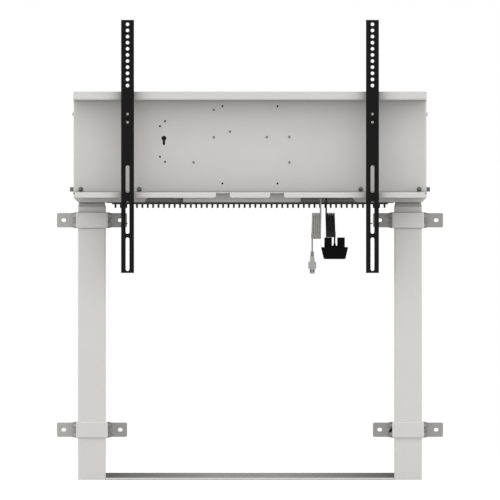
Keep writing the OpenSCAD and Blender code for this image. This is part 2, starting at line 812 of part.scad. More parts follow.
// Cover that closes the rear space towards the wall, with vents behind both boxes
module rear_cover() {
    low = plate_bottom;
    bevel = low + corner_bevel;
    top = plate_top - sheet_t - bend_r;
    vent_w = vent_l / 9;
    boxes = [box_in_x + control_w / 2, -box_in_x - supply_w / 2];
    color([0.8, 0.8, 0.79])
        facing_front(plate_rear_y + rear_d + seat_gap + rear_cover_t, rear_cover_t) difference() {
            polygon([[-side_x, bevel], [corner_bevel - side_x, low], [side_x - corner_bevel, low],
                [side_x, bevel], [side_x, top], [-side_x, top]]);
            for (x = boxes, i = [-4:4]) translate([x + i * vent_l / 4, box_z + box_h / 2])
                rotate(90) slot(vent_l, vent_w);
        }
}

// Rivets that hold the cover to the side returns
module cover_rivets() {
    color([0.75, 0.75, 0.74]) for (s = [-1, 1])
        translate([s * side_x, column_y, cover_rivet_z]) rotate([0, s * 90, 0]) {
            cylinder(d = cover_rivet_d, h = cover_rivet_h * 0.6, $fn = 32);
            cylinder(d = cover_rivet_d * 0.7, h = cover_rivet_h, $fn = 32);
            translate([0, 0, -2 * sheet_t - 2 * slide_gap])
                cylinder(d = plate_hole_d - 2 * seat_gap, h = 2 * sheet_t + 2 * slide_gap, $fn = 32);
        }
}

// Screw with a low round head and a hex socket, its head on z = 0
module round_screw(d, h, shank, l) {
    difference() {
        union() {
            intersection() {
                cylinder(d = d, h = h, $fn = 48);
                translate([0, 0, h - d * 0.8]) sphere(d * 0.8, $fn = 64);
            }
            translate([0, 0, -l]) cylinder(d = shank, h = l, $fn = 32);
        }
        translate([0, 0, h * 0.4]) cylinder(d = hex_w / cos(30), h = h, $fn = 6);
    }
}

// Screws that hold the housing to the head brackets
module housing_screws() {
    color([0.28, 0.28, 0.28]) {
        for (x = screw_x) translate([x, plate_front_y, screw_z]) rotate([90, 0, 0])
            round_screw(head_d, head_h, shank_d, shank_l);
        for (s = [-1, 1]) translate([s * side_x, column_y, screw_z]) rotate([0, s * 90, 0]) {
            difference() {
                cylinder(d = head_d * 1.25, h = washer_t, $fn = 48);
                translate([0, 0, -over]) cylinder(d = shank_d, h = washer_t + 2 * over, $fn = 32);
            }
            translate([0, 0, washer_t]) difference() {
                cylinder(d = head_d, h = side_head_l, $fn = 48);
                translate([0, 0, side_head_l / 2]) cylinder(d = hex_w * 1.4, h = side_head_l, $fn = 6);
            }
            translate([0, 0, washer_t - shank_l]) cylinder(d = shank_d, h = shank_l, $fn = 32);
        }
    }
}

// Steel bracket that joins the inner tube, the drive and the housing
module head_bracket(side) {
    outer_x = side_x - sheet_t;
    plate_l = outer_x - bracket_in_x;
    flange_h = bracket_t + bracket_flange;
    color([0.55, 0.56, 0.57]) mirror([side < 0 ? 1 : 0, 0, 0]) difference() {
        union() {
            translate([bracket_in_x, plate_rear_y, inner_top]) cube([plate_l, rear_d, bracket_t]);
            translate([bracket_in_x, plate_rear_y, inner_top]) cube([plate_l, bracket_t, flange_h]);
            translate([outer_x - bracket_t, plate_rear_y, inner_top])
                cube([bracket_t, rear_d, flange_h]);
        }
        translate([column_x, column_y, inner_top - over])
            cylinder(d = bearing_d + 2 * seat_gap, h = bracket_t + 2 * over, $fn = 64);
        for (x = [screw_in_x, screw_out_x])
            along_y(x, plate_rear_y + 2 * bracket_t, screw_z, shank_hole_d, 3 * bracket_t);
        side_hole(1, screw_z, shank_hole_d);
    }
}

// Inner tube, which slides in the collar
module inner_tube(side) {
    color([0.82, 0.82, 0.81]) on_side(side) translate([0, 0, inner_bottom])
        square_tube(inner_w, inner_wall, inner_corner_r, inner_top - inner_bottom);
}

// Plastic shoe round the inner tube's lower end
module tube_shoe(side) {
    shoe_w = outer_w - 2 * outer_wall - 2 * slide_gap;
    color([0.2, 0.2, 0.2]) on_side(side) translate([0, 0, inner_bottom - inner_wall]) difference() {
        linear_extrude(shoe_h) round_square(shoe_w, shoe_w, inner_corner_r);
        translate([0, 0, inner_wall]) linear_extrude(shoe_h) round_square(inner_w, inner_w, inner_corner_r);
        translate([0, 0, -over]) linear_extrude(inner_wall + 2 * over)
            round_square(inner_w - 4 * inner_wall, inner_w - 4 * inner_wall, inner_corner_r / 2);
    }
}

// Bearing ring in the head bracket
module spindle_bearing(side) {
    color([0.7, 0.71, 0.72]) on_side(side) translate([0, 0, bracket_top - bearing_h]) difference() {
        cylinder(d = bearing_d, h = bearing_h, $fn = 64);
        translate([0, 0, -over])
            cylinder(d = spindle_d + 2 * spindle_fit, h = bearing_h + 2 * over, $fn = 64);
        translate([0, 0, -over]) difference() {
            cylinder(d = bearing_d * 0.8, h = over + bearing_h / 8, $fn = 64);
            translate([0, 0, -over]) cylinder(d = bearing_d * 0.7, h = 2 * over + bearing_h, $fn = 64);
        }
    }
}

// Worm gearbox on the head bracket
module gearbox(side) {
    cap_h = gearbox_h / 12;
    color([0.35, 0.36, 0.37]) on_side(side) translate([0, 0, bracket_top]) difference() {
        union() {
            linear_extrude(gearbox_h) round_square(gearbox_w, gearbox_d, gearbox_r);
            translate([0, 0, gearbox_h]) linear_extrude(cap_h)
                round_square(gearbox_w - gearbox_r, gearbox_d - gearbox_r, gearbox_r / 2);
            for (sx = [-1, 1], sy = [-1, 1])
                translate([sx * (gearbox_w / 2 - gearbox_r), sy * (gearbox_d / 2 - gearbox_r), gearbox_h])
                    cylinder(d = gearbox_r, h = cap_h * 1.5, $fn = 24);
        }
        translate([0, 0, -over])
            cylinder(d = spindle_d + 2 * spindle_fit, h = spindle_top - bracket_top + 2 * over, $fn = 64);
    }
}

// Motor, which points from the gearbox to the housing's middle
module motor(side) {
    cap_l = motor_l / 8;
    color([0.25, 0.25, 0.26]) on_side(side)
        translate([-gearbox_w / 2, 0, motor_z]) rotate([0, -90, 0]) {
            cylinder(d = motor_d * 0.8, h = cap_l, $fn = 64);
            translate([0, 0, cap_l]) cylinder(d = motor_d, h = motor_l - 2 * cap_l, $fn = 64);
            translate([0, 0, motor_l - cap_l]) cylinder(d = motor_d * 0.94, h = cap_l * 0.7, $fn = 64);
            translate([0, 0, motor_l - cap_l / 2]) cylinder(d = motor_d * 0.3, h = cap_l / 2, $fn = 32);
            for (a = [60, 120, 240, 300])
                rotate(a) translate([motor_d * 0.42, 0, cap_l * 0.5])
                    cylinder(d = motor_d * 0.1, h = motor_l - cap_l, $fn = 16);
        }
}

// Box with round edges behind the back plate, its front face on the plate
module electronics_box(x, w) {
    vent_w = box_r / 2;
    translate([x, plate_rear_y, box_z]) difference() {
        translate([w / 2, box_d / 2, 0]) linear_extrude(box_h) round_square(w, box_d, box_r);
        for (i = [1:7]) translate([w * 0.2, box_d - vent_w / 2, box_h * (0.3 + 0.06 * i)])
            cube([w * 0.6, vent_w, vent_w]);
    }
}

// Control box, which drives both motors
module control_box() {
    color([0.16, 0.16, 0.17]) difference() {
        electronics_box(box_in_x, control_w);
        for (i = [0:2])
            translate([box_in_x - over, plate_rear_y + box_d * (0.2 + 0.22 * i), box_z + box_h / 6])
                cube([box_r + over, box_d * 0.14, box_d * 0.3]);
    }
}

// Power supply, with the mains inlet under it
module power_supply() {
    color([0.3, 0.31, 0.32]) electronics_box(-box_in_x - supply_w, supply_w);
}

// Mains inlet with its three pins, open downwards
module mains_inlet() {
    x = -box_in_x - supply_w + inlet_w;
    y = plate_rear_y + box_d / 2 + inlet_wall;
    pin_w = inlet_wall / 2;
    color([0.1, 0.1, 0.1]) translate([x, y, box_z - inlet_h]) {
        difference() {
            linear_extrude(inlet_h) round_square(inlet_w, inlet_d, inlet_wall);
            translate([0, 0, -over]) linear_extrude(inlet_h - inlet_wall + over)
                round_square(inlet_w - 2 * inlet_wall, inlet_d - 2 * inlet_wall, inlet_wall / 2);
        }
        for (i = [-1, 0, 1])
            translate([i * inlet_w / 4, (abs(i) - 0.5) * inlet_d / 5, inlet_h * 0.6])
                cube([pin_w, 2 * inlet_wall, inlet_h * 0.7], center = true);
    }
}

// Comb under the back plate, for the cables that run along the housing
module cable_comb() {
    bevel = plate_bottom - comb_bottom;
    edge_x = column_x - outer_w / 2 - 2 * slide_gap - collar_rim;
    color([0.2, 0.2, 0.2]) facing_front(plate_rear_y + comb_t, comb_t) {
        difference() {
            polygon([[-comb_half_w, comb_bottom], [comb_half_w, comb_bottom],
                [comb_half_w + bevel, plate_bottom], [edge_x, plate_bottom], [edge_x, comb_top],
                [-edge_x, comb_top], [-edge_x, plate_bottom], [-comb_half_w - bevel, plate_bottom]]);
            translate([0, over]) {
                cutout(-1, cutout_left_in);
                cutout(1, cutout_right_in);
            }
        }
        for (i = [0:tooth_count - 1])
            translate([(i - (tooth_count - 1) / 2) * tooth_pitch, 0]) {
                translate([-tooth_w / 2, tooth_tip_z + tooth_w / 2])
                    square([tooth_w, comb_bottom - tooth_tip_z]);
                translate([0, tooth_tip_z + tooth_w / 2]) circle(d = tooth_w, $fn = 16);
            }
    }
}

// Tapered strain reliefs, where the two cables leave the control box
module cable_reliefs() {
    base_d = cable_d * 1.8;
    color([0.3, 0.3, 0.3]) for (x = [usb_x, hand_x])
        translate([x, plate_rear_y, exit_z]) rotate([90, 0, 0]) difference() {
            cylinder(d1 = base_d, d2 = cable_d * 1.4, h = relief_l, $fn = 32);
            for (g = [1:3]) translate([0, 0, relief_l * (0.35 + 0.15 * g)]) difference() {
                cylinder(d = 2 * base_d, h = relief_l / 16, $fn = 32);
                translate([0, 0, -over]) cylinder(d = cable_d * 1.2, h = relief_l, $fn = 32);
            }
        }
}

// Route of a cable from its relief down to the top of its hank
function feed_points(x) = concat(
    [[x, plate_rear_y - relief_l, exit_z], [x, plate_rear_y - relief_l - cable_d, exit_z]],
    [for (a = [15:15:90]) [x, plate_rear_y - relief_l - cable_d - hank_r * sin(a),
        exit_z - hank_r * (1 - cos(a))]],
    [for (i = [1:3]) [x, cable_y, exit_z - hank_r - (exit_z - hank_r - hank_top) * i / 3]]);

// Place on one turn of a hank, s from 0 to 1, from the front run's top downwards
function turn_point(s, low) = let(
    run = hank_top - low - 2 * hank_r,
    arc = PI * hank_r,
    at = s * (2 * run + 2 * arc))
    at < run ? [cable_y, hank_top - hank_r - at]
    : at < run + arc ? let(a = (at - run) / arc * 180)
        [cable_y + hank_r * (1 - cos(a)), low + hank_r * (1 - sin(a))]
    : at < 2 * run + arc ? [cable_y + 2 * hank_r, low + hank_r + at - run - arc]
    : let(a = (at - 2 * run - arc) / arc * 180)
        [cable_y + hank_r * (1 + cos(a)), hank_top - hank_r * (1 - sin(a))];

// Shares of a turn at which the hank's tube has its rings: most lie in the folds
function turn_shares(low) = let(
    run = hank_top - low - 2 * hank_r,
    arc = PI * hank_r,
    whole = 2 * run + 2 * arc)
    concat([0], [for (i = [0:10]) (run + arc * i / 10) / whole],
        [(1.5 * run + arc) / whole], [for (i = [0:10]) (2 * run + arc + arc * i / 10) / whole]);

// Whole hank: a straight lead in, its turns, and a straight lead out
function hank_points(x, step, low) = let(
    lead = (hank_top - low - 2 * hank_r) / (2 * hank_top - 2 * low - 4 * hank_r + 2 * PI * hank_r),
    drift = hank_turns + lead)
    concat([[x, cable_y, hank_top], [x, cable_y, hank_top - cable_d]],
        [for (n = [0:hank_turns - 1], s = turn_shares(low)) let(p = turn_point(s, low))
            if (n > 0 || s > 0) if (s < 1) [x + step * (n + s) * hank_turns / drift, p[0], p[1]]],
        [[x + step * hank_turns, cable_y, low + hank_r],
         [x + step * hank_turns, cable_y, low + hank_r - cable_d]]);

// Straight stretch from a hank's end down to what hangs on the cable
function tail_points(x, low, end) = let(top = low + hank_r - cable_d)
    [for (i = [0:5]) [x, cable_y, top + (end - top) * i / 5]];

// Least gap between two places on a hank that are half a turn or more apart
function least_gap(pts) = min([for (i = [0:len(pts) - 1]) for (j = [i + 12:1:len(pts) - 1])
    norm(pts[i] - pts[j])]) - cable_d;

// Unit vector
function unit(v) = v / norm(v);

// Tube along a route, with flat ends and a given number of sides
module tube(pts, d, sides) {
    last = len(pts) - 1;
    way = [for (i = [0:last]) unit(pts[min(i + 1, last)] - pts[max(i - 1, 0)])];
    across = [for (t = way) unit([1, 0, 0] - t[0] * t)];
    ring = [for (i = [0:last]) for (k = [0:sides - 1]) let(a = 360 * (k + 0.5) / sides)
        pts[i] + d / 2 * (cos(a) * across[i] + sin(a) * cross(way[i], across[i]))];
    walls = [for (i = [0:last - 1]) for (k = [0:sides - 1]) let(n = (k + 1) % sides)
        each [[i * sides + k, (i + 1) * sides + k, (i + 1) * sides + n],
            [i * sides + k, (i + 1) * sides + n, i * sides + n]]];
    ends = [for (k = [1:sides - 2]) each [[0, k, k + 1],
        [last * sides, last * sides + k + 1, last * sides + k]]];
    polyhedron(ring, concat(walls, ends), convexity = 10);
}

// Grey data cable: from its relief to the hank, the hank, and down to the plug
module usb_cable_feed() {
    color([0.6, 0.6, 0.59]) tube(feed_points(usb_x), cable_d, 8);
}

module usb_cable_hank() {
    pts = hank_points(usb_x, -hank_pitch, usb_hank_bottom);
    echo(usb_hank_least_gap = least_gap(pts));
    color([0.6, 0.6, 0.59]) tube(pts, cable_d, 6);
}

module usb_cable_tail() {
    color([0.6, 0.6, 0.59]) tube(tail_points(plug_x, usb_hank_bottom, plug_top), cable_d, 8);
}

// Plug with a metal shell, a moulded grip and a ribbed strain relief
module usb_plug() {
    grip_z = plug_tip + shell_l;
    neck_z = grip_z + grip_l + shoulder_l;
    relief_z = neck_z + neck_l;
    relief_d = neck_w * 0.86;
    wall = shell_d / 12;
    color([0.6, 0.6, 0.59]) translate([plug_x, cable_y, 0]) {
        hull() {
            translate([0, 0, grip_z]) linear_extrude(grip_l) round_square(grip_w, grip_d, grip_d / 4);
            translate([0, 0, grip_z + grip_l + shoulder_l - over / 2]) linear_extrude(over / 2)
                round_square(neck_w, grip_d, grip_d / 4);
        }
        hull() {
            translate([0, 0, neck_z]) linear_extrude(over / 2) round_square(neck_w, grip_d, grip_d / 4);
            translate([0, 0, relief_z - over / 2]) linear_extrude(over / 2)
                round_square(relief_d, grip_d * 0.9, grip_d / 4);
        }
        difference() {
            translate([0, 0, relief_z]) linear_extrude(plug_relief_l, scale = 0.82)
                round_square(relief_d, grip_d * 0.85, grip_d / 4);
            for (g = [0:plug_grooves - 1])
                translate([0, 0, relief_z + plug_relief_l * (g + 0.6) / (plug_grooves + 0.6)]) difference() {
                    cylinder(d = 2 * grip_d, h = plug_relief_l / 10, $fn = 32);
                    translate([0, 0, -over]) cylinder(d = cable_d * 1.15, h = plug_relief_l, $fn = 32);
                }
        }
    }
    color([0.75, 0.75, 0.76]) translate([plug_x, cable_y, plug_tip]) {
        difference() {
            linear_extrude(shell_l) square([shell_w, shell_d], center = true);
            translate([0, 0, -over]) linear_extrude(shell_l)
                square([shell_w - 2 * wall, shell_d - 2 * wall], center = true);
            for (s = [-1, 1]) translate([s * shell_w / 4, 0, shell_l / 2])
                cube([shell_w / 6, 2 * shell_d, shell_w / 5], center = true);
        }
        translate([0, shell_d / 4 - wall / 2, shell_l / 2 + wall])
            cube([shell_w - 2 * wall, shell_d / 2 - wall, shell_l - 2 * wall], center = true);
    }
}

// Black cable of the hand switch, in the same three stretches
module hand_cable_feed() {
    color([0.12, 0.12, 0.12]) tube(feed_points(hand_x), cable_d, 8);
}

module hand_cable_hank() {
    pts = hank_points(hand_x, hank_pitch, hand_hank_bottom);
    echo(hand_hank_least_gap = least_gap(pts));
    color([0.12, 0.12, 0.12]) tube(pts, cable_d, 6);
}

module hand_cable_tail() {
    color([0.12, 0.12, 0.12]) tube(tail_points(switch_x, hand_hank_bottom, switch_top), cable_d, 8);
}

// Outline of the switch's case, drawn in by an inset
module switch_outline(inset) {
    r = switch_r - inset;
    tip = switch_tip_w / 2 - switch_r;
    hull() for (s = [-1, 1]) {
        translate([s * tip, switch_bottom + switch_r]) circle(r, $fn = 32);
        translate([s * (switch_w / 2 - switch_r / 2), switch_top - switch_r / 2])
            circle(max(switch_r / 2 - inset, over / 4), $fn = 32);
    }
}

// Case of the hand switch: a hollow shell, open at the back and for the buttons
module switch_case() {
    base_t = switch_d / 4;
    hole_w = button_w + 2 * slide_gap;
    hole_d = button_d + 2 * slide_gap;
    color([0.09, 0.09, 0.09]) translate([switch_x, 0, 0]) difference() {
        facing_front(cable_y + switch_d / 2 - base_t, switch_d - base_t) switch_outline(0);
        facing_front(cable_y + switch_d / 2, switch_d - switch_wall) switch_outline(switch_wall);
        for (s = [-1, 1]) translate([s * button_x, button_y, switch_bottom])
            cube([hole_w, hole_d, 2 * (switch_wall + over)], center = true);
        translate([0, cable_y, switch_top])
            cylinder(d = cable_d + 2 * seat_gap, h = 3 * switch_wall, center = true, $fn = 32);
    }
}

// Base of the hand switch with its two mounting ears
module switch_base() {
    base_t = switch_d / 4;
    rear = cable_y + switch_d / 2;
    post_y = (button_y + rear - base_t) / 2;
    color([0.09, 0.09, 0.09]) translate([switch_x, 0, 0]) {
        facing_front(rear, base_t - seat_gap) switch_outline(0);
        facing_front(rear - base_t, switch_wall) switch_outline(switch_wall + seat_gap);
        for (s = [-1, 1]) facing_front(rear, lug_t)
            translate([s * (lug_span - lug_w) / 2, (lug_top + switch_top) / 2 - switch_r / 2])
                round_square(lug_w, lug_top - switch_top + switch_r, switch_r / 3);
        for (s = [-1, 1])
            translate([s * button_x, post_y, switch_bottom + 4 * switch_wall + switch_d / 8])
                cube([button_w / 3, switch_d / 2, switch_d / 4], center = true);
    }
}

// One button of the hand switch, with the flange that holds it in the case
module switch_button(side) {
    flange_z = switch_bottom + switch_wall + slide_gap;
    head = switch_wall + button_out + slide_gap;
    color([0.14, 0.14, 0.14])
        translate([switch_x + side * button_x, button_y, 0]) {
            translate([0, 0, switch_bottom - button_out]) linear_extrude(head)
                round_square(button_w, button_d, switch_wall / 2);
            translate([0, 0, flange_z]) linear_extrude(switch_wall / 2)
                square([button_w + switch_wall, button_d], center = true);
            translate([0, 0, flange_z]) linear_extrude(2 * switch_wall)
                square([switch_wall, switch_wall], center = true);
        }
}

// Lifting spindle, which turns in the bearing and drives through the nut
module spindle(side) {
    color([0.72, 0.73, 0.74]) on_side(side) translate([0, 0, spindle_bottom]) {
        cylinder(d = spindle_d, h = spindle_top - spindle_bottom, $fn = 64);
        translate([0, 0, bracket_top - bearing_h - spindle_bottom - 2 * slide_gap - bracket_t])
            cylinder(d = spindle_d * 1.4, h = bracket_t, $fn = 64);
    }
}

// Leg of a bar, seen from the side: the channel's wall and the hook over the lip
module bar_leg() {
    hook_z = top_lip_z + slide_gap;
    finger_y = lip_rear_y + lip_gap;
    translate([bar_front_y, bar_bottom]) square([bar_d, bar_l]);
    polygon([[bar_rear_y - over, plate_top], [bar_rear_y, plate_top],
        [bar_rear_y, hook_z], [finger_y, hook_z], [finger_y, top_lip_z - hook_drop],
        [finger_y + hook_t / 2, top_lip_z - hook_drop - hook_t / 4],
        [finger_y + hook_t, top_lip_z - hook_drop], [finger_y + hook_t, hook_z + hook_t],
        [finger_y, hook_z + 2 * hook_t], [bar_rear_y - over, hook_z + 3 * hook_t]]);
}

// Display bar: a channel with its screw holes, its slots and two hooks
module bar(side) {
    top = bar_bottom + bar_l;
    hole_y = bar_front_y + 2 * bar_t;
    color([0.14, 0.14, 0.14]) translate([side * bar_spacing / 2, 0, 0]) {
        for (s = [-1, 1]) translate([s * (bar_w - bar_t) / 2, 0, 0]) along_x(bar_t) bar_leg();
        difference() {
            translate([-bar_w / 2, bar_front_y, bar_bottom]) cube([bar_w, bar_t, bar_l]);
            for (i = [0:bar_holes - 1])
                along_y(0, hole_y, top - bar_hole_top - i * bar_pitch, bar_hole_d, 3 * bar_t);
            for (i = [0, 1])
                along_y(0, hole_y, bar_bottom + set_hole_z + i * set_hole_pitch, set_hole_d, 3 * bar_t);
            for (s = bar_slots) translate([0, 0, bar_bottom + s[0] + s[1] / 2])
                facing_front(hole_y, 3 * bar_t) rotate(90) slot(s[1], bar_slot_w);
        }
    }
}

// Places of the two guide rivets, above the lower end of the catch plate
function rivet_z() = [catch_low_z() + catch_travel + 2 * rivet_d, low_lip_z - 4 * rivet_d];

// Lower end of the catch plate
function catch_low_z() = catch_tab_z - 2 * rivet_d;

// Where the catch plate starts, beside the left leg of its bar
function catch_x() = bar_t + slide_gap - bar_w / 2;

// Shoulder rivets that guide a catch on the bar's left leg
module catch_rivets(side) {
    y = (bar_front_y + bar_rear_y + bar_t) / 2;
    color([0.45, 0.45, 0.45]) translate([side * bar_spacing / 2, 0, 0])
        for (z = rivet_z()) translate([bar_t - bar_w / 2, y, z]) rotate([0, 90, 0]) {
            cylinder(d = rivet_d, h = catch_t + 2 * slide_gap, $fn = 32);
            translate([0, 0, catch_t + 2 * slide_gap]) cylinder(d = rivet_d * 1.6, h = catch_t / 2, $fn = 32);
        }
}

// Catch that grips behind the lower lip, with its finger tab in the middle slot
module bar_catch(side) {
    y = (bar_front_y + bar_rear_y + bar_t) / 2;
    front = bar_front_y + bar_t + slide_gap;
    hook_y = lip_rear_y + lip_gap;
    neck_z = low_lip_z - 2 * hook_t;
    hook_z = low_lip_z - hook_t;
    color([0.2, 0.2, 0.2]) translate([side * bar_spacing / 2, 0, 0]) {
        translate([catch_x() + catch_t / 2, 0, 0]) along_x(catch_t) difference() {
            polygon([[front, catch_low_z()], [bar_rear_y, catch_low_z()], [bar_rear_y, neck_z - hook_t],
                [hook_y + hook_t, neck_z], [hook_y + hook_t, low_lip_z + catch_grip - hook_t / 2],
                [hook_y + hook_t / 2, low_lip_z + catch_grip], [hook_y, low_lip_z + catch_grip - hook_t / 2],
                [hook_y, hook_z], [front, hook_z]]);
            for (z = rivet_z()) translate([y, z + catch_travel / 2])
                rotate(90) slot(catch_travel + rivet_d + 2 * slide_gap, rivet_d + 2 * slide_gap);
        }
        translate([catch_x(), front, catch_tab_z - catch_t / 2])
            cube([-catch_x(), bar_rear_y - front, catch_t]);
    }
}

outer_tube(-1);  // outer_tube_left
outer_tube(1);  // outer_tube_right
guide_collar(-1);  // guide_collar_left
guide_collar(1);  // guide_collar_right
nut_stand(-1);  // nut_stand_left
nut_stand(1);  // nut_stand_right
spindle_nut(-1);  // spindle_nut_left
spindle_nut(1);  // spindle_nut_right
floor_tray();
wall_plate(-1, bracket_high_z);  // wall_plate_upper_left
wall_plate(1, bracket_high_z);  // wall_plate_upper_right
wall_plate(-1, bracket_low_z);  // wall_plate_lower_left
wall_plate(1, bracket_low_z);  // wall_plate_lower_right
clamp(-1, bracket_high_z);  // clamp_upper_left
clamp(1, bracket_high_z);  // clamp_upper_right
clamp(-1, bracket_low_z);  // clamp_lower_left
clamp(1, bracket_low_z);  // clamp_lower_right
back_plate();
lower_rail();
top_cover();
rear_cover();
cover_rivets();
housing_screws();
head_bracket(-1);  // head_bracket_left
head_bracket(1);  // head_bracket_right
inner_tube(-1);  // inner_tube_left
inner_tube(1);  // inner_tube_right
tube_shoe(-1);  // tube_shoe_left
tube_shoe(1);  // tube_shoe_right
spindle_bearing(-1);  // spindle_bearing_left
spindle_bearing(1);  // spindle_bearing_right
gearbox(-1);  // gearbox_left
gearbox(1);  // gearbox_right
motor(-1);  // motor_left
motor(1);  // motor_right
control_box();
power_supply();
mains_inlet();
cable_comb();
cable_reliefs();
usb_cable_feed();
usb_cable_hank();
usb_cable_tail();
usb_plug();
hand_cable_feed();
hand_cable_hank();
hand_cable_tail();
switch_case();
switch_base();
switch_button(-1);  // button_up
switch_button(1);  // button_down
spindle(-1);  // spindle_left
spindle(1);  // spindle_right
bar(-1);  // bar_left
bar(1);  // bar_right
catch_rivets(-1);  // catch_rivets_left
catch_rivets(1);  // catch_rivets_right
bar_catch(-1);  // bar_catch_left
bar_catch(1);  // bar_catch_right
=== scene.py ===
"""Motorized display lift: the looks of the part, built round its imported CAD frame.

Laid out as a Blender add-on and run as a script. Lengths are in metres in the part's own
frame: +Z up, +Y towards the wall, the origin on the floor. The two columns, the housing
between them and the two black display bars keep the CAD's shapes; here they get rounded
edges, finishes, fittings and light.
"""

import json
import math

import bmesh
import bpy
from bpy.props import FloatProperty, FloatVectorProperty, PointerProperty
from mathutils import Matrix, Vector

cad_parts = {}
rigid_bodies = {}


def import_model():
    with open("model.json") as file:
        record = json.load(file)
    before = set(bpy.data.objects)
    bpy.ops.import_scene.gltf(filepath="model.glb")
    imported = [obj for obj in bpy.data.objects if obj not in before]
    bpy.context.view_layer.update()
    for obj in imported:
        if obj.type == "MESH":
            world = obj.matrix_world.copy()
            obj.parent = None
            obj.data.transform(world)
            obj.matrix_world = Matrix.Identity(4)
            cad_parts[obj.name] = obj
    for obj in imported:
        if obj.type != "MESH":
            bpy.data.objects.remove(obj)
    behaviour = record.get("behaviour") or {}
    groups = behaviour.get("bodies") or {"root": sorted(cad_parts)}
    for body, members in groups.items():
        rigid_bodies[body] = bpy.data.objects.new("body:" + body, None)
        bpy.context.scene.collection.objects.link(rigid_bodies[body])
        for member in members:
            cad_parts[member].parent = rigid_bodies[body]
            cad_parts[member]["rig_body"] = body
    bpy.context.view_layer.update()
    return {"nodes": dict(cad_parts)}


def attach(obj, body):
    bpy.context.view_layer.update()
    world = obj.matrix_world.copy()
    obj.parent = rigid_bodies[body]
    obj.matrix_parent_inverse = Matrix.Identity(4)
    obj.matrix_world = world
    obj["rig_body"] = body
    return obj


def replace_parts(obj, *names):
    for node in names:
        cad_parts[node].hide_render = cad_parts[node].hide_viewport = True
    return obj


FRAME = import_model()
SIDES = {"left": -1, "right": 1}

# Middles of the columns; where the two cables leave the housing, and how high they end
COLUMN_X, COLUMN_Y = 0.388, 0.03675
USB_X, HAND_X = 0.1732, 0.1868
PLUG_TOP_Z, SWITCH_TOP_Z = 0.56, 0.571
# Whole turns in each hank
TURNS = 4

# Rounding of thin, small, cut and boxy parts, where the sidebar doesn't set it
EDGE_THIN, EDGE_SMALL, EDGE_CUT, EDGE_BOX = 0.0002, 0.0003, 0.0004, 0.0006
# CAD points this near are one point, and CAD faces this nearly level are one face
SAME_POINT, SAME_PLANE = 2e-6, math.radians(0.8)
# A face whose centre is this near to a plane lies in it
IN_PLANE = 0.0001

bl_info = {
    "name": "Motorized Display Lift",
    "version": (1, 0, 0),
    "blender": (4, 5, 0),
    "location": "3D View > Sidebar > Display Lift",
    "description": "Finishes, fittings, cables and light of a motorized display lift",
    "category": "Object",
}


def linear(code):
    """An sRGB hex colour as the linear RGBA values that sockets and properties take."""
    channels = [int(code[i:i + 2], 16) / 255 for i in (1, 3, 5)]
    return (*(c / 12.92 if c <= 0.04045 else ((c + 0.055) / 1.055) ** 2.4
              for c in channels), 1.0)


def chosen(context):
    """The sizes and the colours that are set in the sidebar."""
    return context.scene.display_lift_sizes, context.scene.display_lift_colours


# ---------------------------------------------------------------- properties


class LiftSizes(bpy.types.PropertyGroup):
    """Lengths of the lift that a user would change"""

    edge: FloatProperty(
        name="Edge radius", description="Rounding of cut and moulded edges",
        default=0.0004, min=0.0001, max=0.001, precision=4, unit="LENGTH")
    cable_d: FloatProperty(
        name="Cable diameter", description="Diameter of both cables",
        default=0.004, precision=4, unit="LENGTH")
    grey_l: FloatProperty(
        name="Grey cable length", description="Data cable, from its relief to the plug",
        default=0.744, precision=4, unit="LENGTH")
    black_l: FloatProperty(
        name="Black cable length", description="Switch cable, from its relief to the case",
        default=0.701, precision=4, unit="LENGTH")
    exit_z: FloatProperty(
        name="Cable exit height", description="Height at which both cables leave the housing",
        default=0.6966, precision=4, unit="LENGTH")
    plate_y: FloatProperty(
        name="Back plate depth", description="Rear face of the back plate",
        default=0.00675, precision=5, unit="LENGTH")
    relief_l: FloatProperty(
        name="Strain relief length", description="Straight rubber sleeve at a cable's exit",
        default=0.013, precision=4, unit="LENGTH")
    hank_top: FloatProperty(
        name="Hank top", description="Height of both hanks' upper folds",
        default=0.6534, precision=4, unit="LENGTH")
    fold_r: FloatProperty(
        name="Fold radius", description="Radius of the hanks' folds",
        default=0.012, precision=4, unit="LENGTH")
    run_pitch: FloatProperty(
        name="Run spacing", description="Distance between two runs of a hank",
        default=0.00515, precision=5, unit="LENGTH")
    lens: FloatProperty(
        name="Lens", description="Focal length, long for a view almost without perspective",
        default=1600.0, unit="CAMERA")


class LiftColours(bpy.types.PropertyGroup):
    """Colours of the lift's finishes"""

    paint: FloatVectorProperty(
        name="Paint", description="Light grey powder coat of columns, clamps and housing",
        subtype="COLOR", size=4, default=linear("#D7D6D4"))
    plate: FloatVectorProperty(
        name="Back plate", description="The housing's coat, a shade warmer",
        subtype="COLOR", size=4, default=linear("#D2D1CF"))
    zinc: FloatVectorProperty(
        name="Zinc", description="Bright zinc of the wall plates",
        subtype="COLOR", size=4, default=linear("#A9A8A6"))
    tray: FloatVectorProperty(
        name="Tray", description="Coat of the floor tray",
        subtype="COLOR", size=4, default=linear("#A4A3A0"))
    black: FloatVectorProperty(
        name="Black", description="Satin black powder coat of the display bars",
        subtype="COLOR", size=4, default=linear("#151515"))
    # The collars' grey is set darker than their own, as painted shade under the housing
    collar: FloatVectorProperty(
        name="Collar", description="Moulded guide collars",
        subtype="COLOR", size=4, default=linear("#A1A09D"))
    jacket: FloatVectorProperty(
        name="Grey jacket", description="Jacket of the data cable",
        subtype="COLOR", size=4, default=linear("#9A9996"))


# ----------------------------------------------------------------- materials


def node(tree, kind, inputs=None, links=None, **settings):
    """Adds a node, with its settings, its own input values and its links."""
    made = tree.nodes.new(kind)
    for name, value in settings.items():
        setattr(made, name, value)
    for socket, value in (inputs or {}).items():
        made.inputs[socket].default_value = value
    for socket, source in (links or {}).items():
        tree.links.new(source, made.inputs[socket])
    return made


